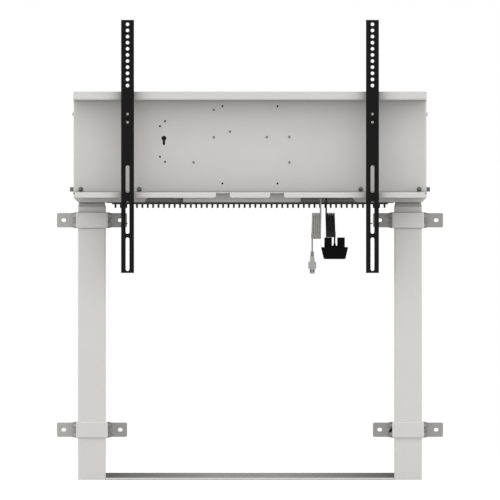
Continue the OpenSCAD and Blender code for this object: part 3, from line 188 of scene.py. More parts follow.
def blank(name):
    """A new material without nodes, and its node tree."""
    material = bpy.data.materials.new(name)
    material.use_nodes = True
    material.node_tree.nodes.clear()
    return material, material.node_tree


def started(name):
    """A blank material, its node tree, and the coordinates that its patterns lie on."""
    material, tree = blank(name)
    return material, tree, node(tree, "ShaderNodeTexCoord").outputs["Object"]


def per(millimetres):
    """Scale of a pattern that repeats every so many millimetres, on metre coordinates."""
    return 1000 / millimetres


def shade(colour, share):
    """The same colour, made darker or lighter by a share."""
    return (*(min(c * share, 1.0) for c in colour[:3]), 1.0)


def for_rays(tree, *rays):
    """One for rays of the kinds named, and zero for all other light."""
    path = node(tree, "ShaderNodeLightPath")
    found = path.outputs[rays[0]]
    for ray in rays[1:]:
        found = node(tree, "ShaderNodeMath", links={0: found, 1: path.outputs[ray]},
                     operation="MAXIMUM").outputs[0]
    return found


def mottled(tree, place, colour, millimetres, detail, darkest, lightest):
    """Cloudy noise of a real size, and a tone that changes with it between two shades."""
    noise = node(tree, "ShaderNodeTexNoise", {"Scale": per(millimetres), "Detail": detail},
                 {"Vector": place})
    tone = node(tree, "ShaderNodeMix",
                {6: shade(colour, darkest), 7: shade(colour, lightest)},
                {0: noise.outputs["Fac"]}, data_type="RGBA")
    return noise, tone


def faded(tree, tone, place, near, far, near_share, far_share):
    """A tone that gets its share by its distance from the middle, to the left or right.

    The share is near_share up to the distance near, and far_share from the distance far on.
    """
    along = node(tree, "ShaderNodeSeparateXYZ", links={0: place})
    away = node(tree, "ShaderNodeMath", links={0: along.outputs["X"]}, operation="ABSOLUTE")
    fade = node(tree, "ShaderNodeMapRange",
                {"From Min": near, "From Max": far, "To Min": near_share,
                 "To Max": far_share}, {"Value": away.outputs[0]})
    return node(tree, "ShaderNodeMix", {6: (0, 0, 0, 1)},
                {0: fade.outputs[0], 7: tone.outputs[2]}, data_type="RGBA")


def painted_corner_shade(tree, tone, share, reach=0.02, above=None):
    """A tone with painted shade: it darkens to a share in inside corners.

    The reach says how far off a surface may be and still count as a corner's other side.
    Where above is given, the tone only darkens higher than that.
    """
    open_air = node(tree, "ShaderNodeAmbientOcclusion", {"Distance": reach}, samples=16)
    # A point in a right-angled corner still sees half of the open air
    cover = node(tree, "ShaderNodeMapRange", {"From Min": 0.5, "To Min": share},
                 {"Value": open_air.outputs["AO"]})
    if above is not None:
        spot = node(tree, "ShaderNodeSeparateXYZ",
                    links={0: node(tree, "ShaderNodeTexCoord").outputs["Object"]})
        lower = node(tree, "ShaderNodeMapRange",
                     {"From Min": above, "From Max": above + 0.1, "To Min": 1.0,
                      "To Max": 0.0}, {"Value": spot.outputs["Z"]})
        cover = node(tree, "ShaderNodeMath",
                     links={0: cover.outputs[0], 1: lower.outputs[0]}, operation="MAXIMUM")
    return node(tree, "ShaderNodeMix", {6: (0, 0, 0, 1)},
                {0: cover.outputs[0], 7: tone.outputs[2]}, data_type="RGBA")


def powder_coat(name, colour, roughness=0.45, specular=0.4, corner=0.7, reach=0.006,
                above=None, hollow=1.0):
    """Polyester powder, sprayed and baked: satin, with a shallow orange peel.

    It has painted shade: it darkens to the share corner within the reach of a corner, and to
    the share hollow wherever something stands within 100 mm in front of it.
    """
    material, tree, place = started(name)
    # The coat is a little thicker in some places, which shows as a slow change of tone
    drift, tone = mottled(tree, place, colour, 90, 2.0, 0.965, 1.015)
    if corner < 1:
        tone = painted_corner_shade(tree, tone, corner, reach, above)
    if hollow < 1:
        # Painted shade of wider reach, where a deep channel or a bar stands in front of the
        # coat
        tone = painted_corner_shade(tree, tone, hollow, 0.1)
    # Orange peel of a real coat is 1 to 2 mm from crest to crest
    peel = node(tree, "ShaderNodeTexNoise", {"Scale": per(1.6), "Detail": 1.0},
                {"Vector": place})
    # Grains of the fine texture are really 0.1 mm, drawn at 0.5 mm so that they show
    grain = node(tree, "ShaderNodeTexNoise", {"Scale": per(0.5), "Detail": 2.0},
                 {"Vector": place})
    relief = node(tree, "ShaderNodeMath", {1: 0.35},
                  {0: grain.outputs["Fac"], 2: peel.outputs["Fac"]},
                  operation="MULTIPLY_ADD")
    bump = node(tree, "ShaderNodeBump", {"Strength": 0.35, "Distance": 0.00004},
                {"Height": relief.outputs[0]})
    gloss = node(tree, "ShaderNodeMapRange",
                 {"To Min": roughness - 0.05, "To Max": roughness + 0.07},
                 {"Value": drift.outputs["Fac"]})
    coat = node(tree, "ShaderNodeBsdfPrincipled", {"IOR": 1.5, "Specular IOR Level": specular},
                {"Base Color": tone.outputs[2], "Roughness": gloss.outputs[0],
                 "Normal": bump.outputs["Normal"]})
    node(tree, "ShaderNodeOutputMaterial", links={"Surface": coat.outputs[0]})
    return material


def zinc_plate(name, colour, roughness=0.42, inner=1.0):
    """Zinc plated over rolled sheet: dull metal, faint rolling lines, a cloudy bloom."""
    material, tree, place = started(name)
    bloom, tone = mottled(tree, place, colour, 14, 4.0, 0.9, 1.08)
    # Painted shade in the plates' corners
    tone = painted_corner_shade(tree, tone, 0.75, 0.012)
    if inner < 1:
        # Painted shade: the inner ears, between the columns, are darker
        tone = faded(tree, tone, place, 0.352, 0.42, inner, 1.0)
    # Rolling lines run across the part: noise of 7 mm, squeezed to half a millimetre high
    turned = node(tree, "ShaderNodeMapping", {"Scale": (1.0, 1.0, 14.0)},
                  {"Vector": place})
    lines = node(tree, "ShaderNodeTexNoise", {"Scale": per(7), "Detail": 3.0},
                 {"Vector": turned.outputs[0]})
    bump = node(tree, "ShaderNodeBump", {"Strength": 0.2, "Distance": 0.00002},
                {"Height": lines.outputs["Fac"]})
    dull = node(tree, "ShaderNodeMapRange",
                {"To Min": roughness - 0.08, "To Max": roughness + 0.1},
                {"Value": bloom.outputs["Fac"]})
    metal = node(tree, "ShaderNodeBsdfPrincipled", {"Metallic": 1.0},
                 {"Base Color": tone.outputs[2], "Roughness": dull.outputs[0],
                  "Normal": bump.outputs["Normal"]})
    node(tree, "ShaderNodeOutputMaterial", links={"Surface": metal.outputs[0]})
    return material


def tray_coat(name, colour):
    """Plain coat on the tray's inside, with painted shade that darkens it more and more
    towards both ends.
    """
    material, tree, place = started(name)
    scuff, tone = mottled(tree, place, colour, 40, 5.0, 0.93, 1.05)
    # Painted shade: darker towards both ends, beside the columns
    tone = faded(tree, tone, place, 0.06, 0.34, 1.0, 0.55)
    gloss = node(tree, "ShaderNodeMapRange", {"To Min": 0.45, "To Max": 0.65},
                 {"Value": scuff.outputs["Fac"]})
    coat = node(tree, "ShaderNodeBsdfPrincipled", {"IOR": 1.5, "Specular IOR Level": 0.3},
                {"Base Color": tone.outputs[2], "Roughness": gloss.outputs[0]})
    node(tree, "ShaderNodeOutputMaterial", links={"Surface": coat.outputs[0]})
    return material


def ground_steel(name, colour):
    """Ground steel: fine rings left by the wheel round the part's own upright axis."""
    material, tree, place = started(name)
    turned = node(tree, "ShaderNodeMapping", {"Scale": (0.05, 0.05, 1.0)}, {"Vector": place})
    rings, tone = mottled(tree, turned.outputs[0], colour, 0.6, 2.0, 0.93, 1.05)
    bump = node(tree, "ShaderNodeBump", {"Strength": 0.2, "Distance": 0.00001},
                {"Height": rings.outputs["Fac"]})
    metal = node(tree, "ShaderNodeBsdfPrincipled", {"Metallic": 1.0, "Roughness": 0.26},
                 {"Base Color": tone.outputs[2], "Normal": bump.outputs["Normal"]})
    node(tree, "ShaderNodeOutputMaterial", links={"Surface": metal.outputs[0]})
    return material


def die_cast(name, colour):
    """Shot-blasted aluminium casting: matt metal with the pits of the shot."""
    material, tree, place = started(name)
    pits = node(tree, "ShaderNodeTexVoronoi", {"Scale": per(0.9)}, {"Vector": place})
    tone = mottled(tree, place, colour, 20, 3.0, 0.85, 1.1)[1]
    bump = node(tree, "ShaderNodeBump", {"Strength": 0.4, "Distance": 0.00006},
                {"Height": pits.outputs["Distance"]})
    metal = node(tree, "ShaderNodeBsdfPrincipled", {"Metallic": 0.9, "Roughness": 0.55},
                 {"Base Color": tone.outputs[2], "Normal": bump.outputs["Normal"]})
    node(tree, "ShaderNodeOutputMaterial", links={"Surface": metal.outputs[0]})
    return material


def black_zinc(name, colour):
    """Black-passivated zinc on a screw: a dark film that still shines like metal."""
    material, tree, place = started(name)
    film, tone = mottled(tree, place, colour, 2.5, 4.0, 0.75, 1.25)
    dull = node(tree, "ShaderNodeMapRange", {"To Min": 0.3, "To Max": 0.5},
                {"Value": film.outputs["Fac"]})
    metal = node(tree, "ShaderNodeBsdfPrincipled", {"Metallic": 0.85},
                 {"Base Color": tone.outputs[2], "Roughness": dull.outputs[0]})
    node(tree, "ShaderNodeOutputMaterial", links={"Surface": metal.outputs[0]})
    return material


def moulded(name, colour, grain=0.7, roughness=0.5, specular=0.4, ior=1.5, corner=1.0):
    """Injection-moulded plastic from a spark-eroded mould: an even fine grain."""
    material, tree, place = started(name)
    # Spark erosion leaves craters of 0.1 to 0.3 mm, drawn coarser so that they show
    craters = node(tree, "ShaderNodeTexVoronoi", {"Scale": per(grain)}, {"Vector": place})
    flow, tone = mottled(tree, place, colour, 30, 2.0, 0.95, 1.04)
    # Painted shade in corners, when corner is below 1
    if corner < 1:
        tone = painted_corner_shade(tree, tone, corner)
    bump = node(tree, "ShaderNodeBump", {"Strength": 0.3, "Distance": 0.00003},
                {"Height": craters.outputs["Distance"]})
    gloss = node(tree, "ShaderNodeMapRange",
                 {"To Min": roughness - 0.05, "To Max": roughness + 0.05},
                 {"Value": flow.outputs["Fac"]})
    plastic = node(tree, "ShaderNodeBsdfPrincipled",
                   {"IOR": ior, "Specular IOR Level": specular},
                   {"Base Color": tone.outputs[2], "Roughness": gloss.outputs[0],
                    "Normal": bump.outputs["Normal"]})
    node(tree, "ShaderNodeOutputMaterial", links={"Surface": plastic.outputs[0]})
    return material


def jacket(name, colour, specular=0.4):
    """Extruded soft PVC: smooth and a little waxy, with shinier and duller scuffs."""
    material, tree, place = started(name)
    scuff, tone = mottled(tree, place, colour, 9, 4.0, 0.93, 1.05)
    gloss = node(tree, "ShaderNodeMapRange", {"To Min": 0.38, "To Max": 0.55},
                 {"Value": scuff.outputs["Fac"]})
    vinyl = node(tree, "ShaderNodeBsdfPrincipled",
                 {"IOR": 1.53, "Specular IOR Level": specular},
                 {"Base Color": tone.outputs[2], "Roughness": gloss.outputs[0]})
    node(tree, "ShaderNodeOutputMaterial", links={"Surface": vinyl.outputs[0]})
    return material


def rubber(name, colour):
    """EPDM rubber, and what looks as dead matt and dusty: felt, a woven tie, and the black
    blocks of painted shade.
    """
    material, tree, place = started(name)
    tone = mottled(tree, place, colour, 4, 5.0, 0.8, 1.3)[1]
    elastic = node(tree, "ShaderNodeBsdfPrincipled",
                   {"IOR": 1.52, "Roughness": 0.75, "Specular IOR Level": 0.3},
                   {"Base Color": tone.outputs[2]})
    node(tree, "ShaderNodeOutputMaterial", links={"Surface": elastic.outputs[0]})
    return material


def nickel(name, colour):
    """Bright nickel on a drawn shell: almost a mirror, with a few fine scratches."""
    material, tree, place = started(name)
    turned = node(tree, "ShaderNodeMapping", {"Scale": (1.0, 1.0, 0.08)}, {"Vector": place})
    scratch = node(tree, "ShaderNodeTexNoise", {"Scale": per(0.5), "Detail": 3.0},
                   {"Vector": turned.outputs[0]})
    dull = node(tree, "ShaderNodeMapRange", {"To Min": 0.12, "To Max": 0.32},
                {"Value": scratch.outputs["Fac"]})
    metal = node(tree, "ShaderNodeBsdfPrincipled",
                 {"Metallic": 1.0, "Base Color": colour}, {"Roughness": dull.outputs[0]})
    node(tree, "ShaderNodeOutputMaterial", links={"Surface": metal.outputs[0]})
    return material


# -------------------------------------------------------------------- shaping


def place_on(piece, body, finish):
    """Gives a new piece its body and its material."""
    piece.data.materials.append(finish)
    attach(piece, body)
    return piece


def mesh_piece(name, shape):
    """A mesh object from a bmesh, smooth where its faces meet at less than 35 degrees."""
    mesh = bpy.data.meshes.new(name)
    shape.to_mesh(mesh)
    shape.free()
    mesh.shade_smooth()
    mesh.set_sharp_from_angle(angle=math.radians(35))
    piece = bpy.data.objects.new(name, mesh)
    bpy.context.scene.collection.objects.link(piece)
    return piece


def softened(name, finish, edge, sharp=30.0):
    """Stands for a CAD node: its own shape with flat faces joined and edges rounded.

    An edge is rounded where its two faces turn by more than the angle sharp, in degrees.
    """
    source = FRAME["nodes"][name]
    shape = bmesh.new()
    shape.from_mesh(source.data)
    for layer in list(shape.loops.layers.uv):
        shape.loops.layers.uv.remove(layer)
    bmesh.ops.remove_doubles(shape, verts=shape.verts, dist=SAME_POINT)
    bmesh.ops.dissolve_limit(shape, angle_limit=SAME_PLANE, verts=shape.verts,
                             edges=shape.edges)
    for face in shape.faces:
        face.material_index = 0
    corners = [e for e in shape.edges
               if e.is_manifold and e.calc_face_angle() > math.radians(sharp)]
    bmesh.ops.bevel(shape, geom=corners, affect="EDGES", offset=edge, offset_type="OFFSET",
                    segments=2, profile=0.5, material=-1, clamp_overlap=True)
    piece = mesh_piece(name + "_finished", shape)
    lean = piece.modifiers.new("flat faces stay flat", "WEIGHTED_NORMAL")
    lean.keep_sharp = True
    place_on(piece, source["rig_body"], finish)
    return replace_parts(piece, name)


def recoat(piece, finish, where):
    """Gives another finish to those faces of a piece whose centre passes a test."""
    piece.data.materials.append(finish)
    for face in piece.data.polygons:
        if where(face.center):
            face.material_index = len(piece.data.materials) - 1


def add_box(shape, low, high):
    """Adds a sharp box between two corners, and returns its edges."""
    low, high = Vector(low), Vector(high)
    spread = Matrix.Diagonal((*(high - low), 1.0))
    made = bmesh.ops.create_cube(shape, size=1.0,
                                 matrix=Matrix.Translation((low + high) / 2) @ spread)
    return list({e for v in made["verts"] for e in v.link_edges})


def add_block(shape, low, high, edge, segments=2):
    """Adds a block with rounded edges between two corners."""
    edges = add_box(shape, low, high)
    bmesh.ops.bevel(shape, geom=edges, affect="EDGES", offset=edge, offset_type="OFFSET",
                    segments=segments, profile=0.5, material=-1, clamp_overlap=True)


def band(name, low, high, corner_r, thickness):
    """A flat band round a bundle or a tube, between two inner corners."""
    shape = bmesh.new()
    add_box(shape, low, high)
    caps = [f for f in shape.faces if abs(f.normal.z) > 0.9]
    bmesh.ops.delete(shape, geom=caps, context="FACES_ONLY")
    upright = [e for e in shape.edges if abs(e.verts[0].co.z - e.verts[1].co.z) > 1e-5]
    bmesh.ops.bevel(shape, geom=upright, affect="EDGES", offset=corner_r,
                    offset_type="OFFSET", segments=6, profile=0.5, material=-1)
    bmesh.ops.recalc_face_normals(shape, faces=shape.faces)
    bmesh.ops.solidify(shape, geom=shape.faces[:], thickness=-thickness)
    return mesh_piece(name, shape)


def around(centre, half):
    """The low and the high corner of a block, from its centre and half its sizes."""
    return Vector(centre) - Vector(half), Vector(centre) + Vector(half)


def block_piece(name, finish, edge, blocks):
    """A piece on the carriage, of blocks that are given by their low and high corners."""
    shape = bmesh.new()
    for low, high in blocks:
        add_block(shape, low, high, edge)
    return place_on(mesh_piece(name, shape), "carriage", finish)


def add_pan_head(shape, place, radius, height):
    """Adds a pan-head screw that faces the wall, with a round socket in its head."""
    turned = Matrix.Translation(place) @ Matrix.Rotation(-math.pi / 2, 4, "X")
    made = bmesh.ops.create_cone(shape, cap_ends=True, segments=24, radius1=radius,
                                 radius2=radius * 0.82, depth=height,
                                 matrix=turned @ Matrix.Translation((0, 0, height / 2)))
    top = max({f for v in made["verts"] for f in v.link_faces},
              key=lambda f: f.calc_center_median().y)
    rim = list(top.edges)
    bmesh.ops.bevel(shape, geom=rim, affect="EDGES", offset=height * 0.3,
                    offset_type="OFFSET", segments=2, profile=0.5, material=-1)
    top = max((f for f in shape.faces if (f.calc_center_median() - Vector(place)).length
               < radius), key=lambda f: f.calc_center_median().y)
    bmesh.ops.inset_region(shape, faces=[top], thickness=radius * 0.3)
    bmesh.ops.inset_region(shape, faces=[top], thickness=radius * 0.04, depth=-height * 0.5)


# --------------------------------------------------------------------- cables


def feed_route(sizes, x):
    """From the relief straight out of the back plate, over a quarter bend and down."""
    out = sizes.plate_y - sizes.relief_l
    points = [(x, out, sizes.exit_z), (x, out - sizes.cable_d, sizes.exit_z)]
    for step in range(1, 7):
        angle = math.radians(15 * step)
        points.append((x, out - sizes.cable_d - sizes.fold_r * math.sin(angle),
                       sizes.exit_z - sizes.fold_r * (1 - math.cos(angle))))
    drop = sizes.exit_z - sizes.fold_r
    return points + [(x, hank_y(sizes), drop - (drop - sizes.hank_top) * step / 3)
                     for step in range(1, 4)]


def hank_y(sizes):
    """Depth of the hanks' front runs, in which the feed and the tail lie too."""
    return sizes.plate_y - sizes.relief_l - sizes.cable_d - sizes.fold_r


def turn_point(sizes, share, low):
    """Depth and height of a point on one turn: down the front, a fold, up the rear, a fold."""
    radius, front = sizes.fold_r, hank_y(sizes)
    run = sizes.hank_top - low - 2 * radius
    arc = math.pi * radius
    at = share * 2 * (run + arc)
    if at < run:
        return front, sizes.hank_top - radius - at
    if at < run + arc:
        angle = (at - run) / radius
        return front + radius * (1 - math.cos(angle)), low + radius * (1 - math.sin(angle))
    if at < 2 * run + arc:
        return front + 2 * radius, low + radius + at - run - arc
    angle = (at - 2 * run - arc) / radius
    return (front + radius * (1 + math.cos(angle)),
            sizes.hank_top - radius * (1 - math.sin(angle)))


def hank_route(sizes, x, step, low):
    """The spare length: four turns and a half, each turn one pitch beside the last."""
    run = sizes.hank_top - low - 2 * sizes.fold_r
    arc = math.pi * sizes.fold_r
    whole = 2 * (run + arc)
    # Ten steps round each fold, and one point halfway up the rear run
    fold = [arc * i / 10 for i in range(11)]
    shares = [at / whole for at in (0.0, *(run + bend for bend in fold), 1.5 * run + arc,
                                    *(2 * run + arc + bend for bend in fold))]
    drift = TURNS + run / whole
    front = hank_y(sizes)
    points = [(x, front, sizes.hank_top - sizes.cable_d)]
    for turn in range(TURNS):
        for share in shares:
            if share < 1 and (turn or share):
                across = x + step * (turn + share) * TURNS / drift
                points.append((across, *turn_point(sizes, share, low)))
    last = x + step * TURNS
    return points + [(last, front, low + sizes.fold_r),
                     (last, front, low + sizes.fold_r - sizes.cable_d)]


def tail_route(sizes, x, low, end):
    """From the hank's last run straight down to what hangs on the cable."""
    top = low + sizes.fold_r - sizes.cable_d
    return [(x, hank_y(sizes), top - (top - end) * i / 5) for i in range(1, 6)]


def cable(name, sizes, points, finish, nodes):
    """One round cable along the route, standing for its three CAD solids."""
    curve = bpy.data.curves.new(name, "CURVE")
    curve.dimensions = "3D"
    curve.bevel_depth = sizes.cable_d / 2
    curve.bevel_resolution = 5
    curve.use_fill_caps = True
    line = curve.splines.new("POLY")
    line.points.add(len(points) - 1)
    for knot, point in zip(line.points, points):
        knot.co = (*point, 1.0)
    piece = bpy.data.objects.new(name, curve)
    bpy.context.scene.collection.objects.link(piece)
    place_on(piece, "carriage", finish)
    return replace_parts(piece, *nodes)


# ------------------------------------------------------------------ operators


class DISPLAYLIFT_OT_stage(bpy.types.Operator):
    """Camera, white world, soft lamps and a pale floor"""

    bl_idname = "display_lift.stage"
    bl_label = "Camera, Light and Floor"

    def execute(self, context):
        scene = context.scene
        scene.view_settings.view_transform = "Standard"
        self.front_camera(scene)
        scene.world = self.white_studio()
        self.soft_lamps(scene)
        # A hair below the feet, so that no two surfaces share a plane
        below = Matrix.Translation((0, 0, -0.0003))
        shape = bmesh.new()
        bmesh.ops.create_grid(shape, x_segments=1, y_segments=1, size=6, matrix=below)
        floor = mesh_piece("pale_floor", shape)
        floor.data.materials.append(self.pale_floor())
        return {"FINISHED"}

    @staticmethod
    def front_camera(scene):
        """Straight front view, almost parallel, from as far as its long lens needs"""
        # The square picture covers this width at the part's own depth
        view_w, view_z = 1.22652, 0.5638
        lens = bpy.data.cameras.new("front_camera")
        lens.lens = scene.display_lift_sizes.lens
        lens.sensor_width = 36
        lens.clip_end = 200
        camera = bpy.data.objects.new("front_camera", lens)
        camera.location = (0, -view_w * lens.lens / lens.sensor_width, view_z)
        camera.rotation_euler = (math.pi / 2, 0, 0)
        scene.collection.objects.link(camera)
        scene.camera = camera

    @staticmethod
    def white_studio():
        """Soft light, stronger from above, plain white for the camera and in a gloss"""
        world = bpy.data.worlds.new("white_studio")
        world.use_nodes = True
        tree = world.node_tree
        tree.nodes.clear()
        seen = for_rays(tree, "Is Camera Ray", "Is Glossy Ray", "Is Transmission Ray")
        facing = node(tree, "ShaderNodeSeparateXYZ",
                      links={0: node(tree, "ShaderNodeTexCoord").outputs["Generated"]})
        rise = node(tree, "ShaderNodeMapRange",
                    {"From Min": -0.2, "From Max": 0.1, "To Min": 0.6, "To Max": 1.22},
                    {"Value": facing.outputs["Z"]})
        fall = node(tree, "ShaderNodeMapRange",
                    {"From Min": 0.4, "From Max": 0.95, "To Min": 1.0, "To Max": 0.9},
                    {"Value": facing.outputs["Z"]})
        level = node(tree, "ShaderNodeMath", links={0: rise.outputs[0], 1: fall.outputs[0]},
                     operation="MULTIPLY")
        light = node(tree, "ShaderNodeBackground", {"Color": (1, 1, 1, 1)},
                     {"Strength": level.outputs[0]})
        white = node(tree, "ShaderNodeBackground", {"Color": (1, 1, 1, 1), "Strength": 1.0})
        both = node(tree, "ShaderNodeMixShader", links={
            0: seen, 1: light.outputs[0], 2: white.outputs[0]})
        node(tree, "ShaderNodeOutputWorld", links={"Surface": both.outputs[0]})
        return world

    @staticmethod
    def soft_lamps(scene):
        """A weak strip beside each column, and a wide panel above the front"""
        # Sizes are in metres, power is in watts
        for name, place, size, power in (
                ("side_strip_left", (-1.1, -0.35, 0.75), (0.4, 1.5), 0.6),
                ("side_strip_right", (1.1, -0.35, 0.75), (0.4, 1.5), 0.6),
                ("top_panel", (0, -1.2, 3.6), (4.0, 2.0), 4.0)):
            lamp = bpy.data.lights.new(name, "AREA")
            lamp.energy = power
            lamp.shape = "RECTANGLE"
            lamp.size, lamp.size_y = size
            panel = bpy.data.objects.new(name, lamp)
            panel.location = place
            # Aimed at half height, the strips at their own side of it
            aim = Vector((place[0] / 3, 0, 0.6)) - Vector(place)
            panel.rotation_euler = aim.to_track_quat("-Z", "Y").to_euler()
            panel.visible_camera = False
            scene.collection.objects.link(panel)

    @staticmethod
    def pale_floor():
        """Matt white floor that shows as white where it is lit and keeps the shadow"""
        material, tree = blank("pale_floor")
        seen = for_rays(tree, "Is Camera Ray", "Is Glossy Ray")
        level = node(tree, "ShaderNodeMath", {1: 0.6}, {0: seen}, operation="MULTIPLY")
        matt = node(tree, "ShaderNodeBsdfDiffuse", {"Color": (0.53, 0.53, 0.53, 1)})
        lift = node(tree, "ShaderNodeEmission", {"Color": (1, 1, 1, 1)},
                    {"Strength": level.outputs[0]})
        both = node(tree, "ShaderNodeAddShader", links={
            0: matt.outputs[0], 1: lift.outputs[0]})
        node(tree, "ShaderNodeOutputMaterial", links={"Surface": both.outputs[0]})
        return material


class DISPLAYLIFT_OT_cables(bpy.types.Operator):
    """Grey data cable with its plug, black switch cable with the hand switch"""

    bl_idname = "display_lift.cables"
    bl_label = "Cables, Plug and Hand Switch"

    def execute(self, context):
        sizes, colours = chosen(context)
        grey = jacket("grey_pvc_jacket", colours.jacket[:])
        black = jacket("black_pvc_jacket", linear("#0E0E0E"), specular=0.15)
        plug = self.plug(sizes)
        switch = self.hand_switch(sizes)
        for name, x, step, low, end_z, finish, slot, length, kind, carried in (
                ("usb", USB_X, -sizes.run_pitch, 0.5924, PLUG_TOP_Z, grey, "grey_cable",
                 sizes.grey_l, "plug", plug),
                ("hand", HAND_X, sizes.run_pitch, 0.5964, SWITCH_TOP_Z, black, "black_cable",
                 sizes.black_l, "tool", switch)):
            end_x = x + TURNS * step
            points = (feed_route(sizes, x) + hank_route(sizes, x, step, low)
                      + tail_route(sizes, end_x, low, end_z))
            # A hank leans: its first run is a third of a pitch further in at the low fold
            across = sorted((x + 0.35 * step, end_x))
            carried.append(self.tie(name, sizes, across, low, slot))
            piece = cable(name + "_cable", sizes, points, finish,
                          [f"{name}_cable_{part}" for part in ("feed", "hank", "tail")])
        return {"FINISHED"}

    @staticmethod
    def tie(name, sizes, across, low, slot):
        """Woven tie that holds a hank's lower end together"""
        weave, foot, head = 0.0005, low - 0.0012, low + 0.012
        # Half a cable and a hair of slack, all round the cables' middle lines
        room, front = sizes.cable_d / 2 + 0.0001, hank_y(sizes)
        tone = linear("#8B8A87") if slot == "grey_cable" else linear("#0E0E0E")
        piece = band(name + "_hank_tie", (across[0] - room, front - room, foot),
                     (across[1] + room, front + 2 * sizes.fold_r + room, head),
                     sizes.cable_d / 2, weave)
        return place_on(piece, "carriage", rubber(name + "_tie_weave", tone))

    @staticmethod
    def plug(sizes):
        """The moulded plug: its grip from the CAD, its shell in bright nickel"""
        piece = softened("usb_plug", moulded("plug_pvc", linear("#A8A7A4"), grain=0.5,
                                             roughness=0.48), EDGE_SMALL)
        shell_top, relief_low = 0.5172, 0.5482
        recoat(piece, nickel("plug_shell_nickel", linear("#9D9C99")),
               lambda at: at.z < shell_top)
        recoat(piece, rubber("plug_relief_pvc", linear("#7E7D7A")),
               lambda at: at.z > relief_low)
        # Ribbed relief: a flat core, and round it four ribs, each a little narrower
        x, y = USB_X - TURNS * sizes.run_pitch, hank_y(sizes)
        core_x, core_y, rib_x, rib_y, narrower = 0.0036, 0.0028, 0.0046, 0.0034, 0.0003
        shape = bmesh.new()
        add_block(shape, (x - core_x, y - core_y, relief_low),
                  (x + core_x, y + core_y, PLUG_TOP_Z), 0.0012, 4)
        pitch = (PLUG_TOP_Z - relief_low) / 4
        for rib in range(4):
            foot = relief_low + pitch * (rib + 0.15)
            half = rib_x - narrower * rib
            add_block(shape, (x - half, y - rib_y, foot),
                      (x + half, y + rib_y, foot + pitch * 0.62), 0.0005, 3)
        ribs = place_on(mesh_piece("plug_relief", shape), "carriage",
                        rubber("plug_ribs_pvc", linear("#8A8986")))
        # Latch windows, two dark fields that stand a hair proud of the shell
        shell_y = min(v.co.y for v in piece.data.vertices if v.co.z < shell_top)
        window_x, window_low, window_top, proud = 0.0014, 0.5100, 0.5162, 0.00006
        windows = block_piece(
            "plug_windows",
            moulded("plug_window_pbt", linear("#3C3B39"), roughness=0.6), 0.00004,
            [((at - window_x, shell_y - proud, window_low),
              (at + window_x, shell_y + 0.0004, window_top))
             for at in (x - 0.0038, x + 0.0038)])
        return [piece, ribs, windows]

    @staticmethod
    def hand_switch(sizes):
        """Case, base and both buttons of the corded hand switch"""
        case = moulded("switch_abs", linear("#070707"), grain=0.6, roughness=0.5,
                       specular=0.05, ior=1.53)
        button = moulded("button_abs", linear("#161616"), grain=0.6, roughness=0.42,
                         specular=0.1, ior=1.53)
        # Saddle between the ears with a short nozzle, where the cable enters the case
        x, y = HAND_X + TURNS * sizes.run_pitch, hank_y(sizes)
        saddle_low, saddle_top, nozzle_low, nozzle_top = 0.5706, 0.5746, 0.5742, 0.5802
        half, front, rear = 0.0074, y - 0.0062, y + 0.0046
        shape = bmesh.new()
        add_block(shape, (x - half, front, saddle_low), (x + half, rear, saddle_top),
                  0.0013, 4)
        made = bmesh.ops.create_cone(
            shape, cap_ends=True, segments=32, radius1=0.0038, radius2=0.0023,
            depth=nozzle_top - nozzle_low,
            matrix=Matrix.Translation((x, y, (nozzle_low + nozzle_top) / 2)))
        rim = list({e for v in made["verts"] for e in v.link_edges
                    if min(w.co.z for w in e.verts) > nozzle_top - IN_PLANE})
        bmesh.ops.bevel(shape, geom=rim, affect="EDGES", offset=0.0004,
                        offset_type="OFFSET", segments=3, profile=0.5, material=-1)
        nozzle = place_on(mesh_piece("switch_nozzle", shape), "carriage",
                          case)
        return [nozzle,
                softened("switch_case", case, EDGE_BOX),
                softened("switch_base", case, EDGE_CUT),
                softened("button_up", button, EDGE_CUT),
                softened("button_down", button, EDGE_CUT)]


class DISPLAYLIFT_OT_columns(bpy.types.Operator):
    """Square tubes, guide collars, shoes and the stands inside"""

    bl_idname = "display_lift.columns"
    bl_label = "Columns"

    def execute(self, context):
        sizes, colours = chosen(context)
        # Painted shadow of the housing: the columns darken under it, above 250 mm, and in
        # their corners
        paint = powder_coat("column_powder_coat", colours.paint[:], corner=0.6, reach=0.24,
                            above=0.25)
        # Painted shade on the inner tubes, darkest in the gap under the housing
        inner = powder_coat("inner_tube_coat", colours.paint[:], corner=0.52)
        # Collars set darker, and darker still in corners: painted shade under the housing
        collar = moulded("collar_polyamide", colours.collar[:], ior=1.53, corner=0.75)
        shoe = moulded("shoe_polyamide", linear("#383838"), ior=1.53)
        stand = zinc_plate("stand_zinc", linear("#A5A7A8"))
        felt = rubber("wiper_felt", linear("#757472"))
        # Felt wiper on each collar, round the inner tube with a hair of room. Its dark felt
        # stands for the shadow in the gap under the housing: painted shade
        tube_half, wiper_low, wiper_top = 0.03015, 0.6777, 0.68082
        corner_r, thickness = 0.0058, 0.0019
        for side, sign in SIDES.items():
            softened(f"outer_tube_{side}", paint, sizes.edge)
            softened(f"inner_tube_{side}", inner, sizes.edge)
            softened(f"guide_collar_{side}", collar, EDGE_SMALL)
            softened(f"tube_shoe_{side}", shoe, EDGE_SMALL)
            softened(f"nut_stand_{side}", stand, EDGE_SMALL)
            x = sign * COLUMN_X
            wiper = band("wiper_" + side,
                         (x - tube_half, COLUMN_Y - tube_half, wiper_low),
                         (x + tube_half, COLUMN_Y + tube_half, wiper_top),
                         corner_r, thickness)
            place_on(wiper, "base", felt)
        return {"FINISHED"}


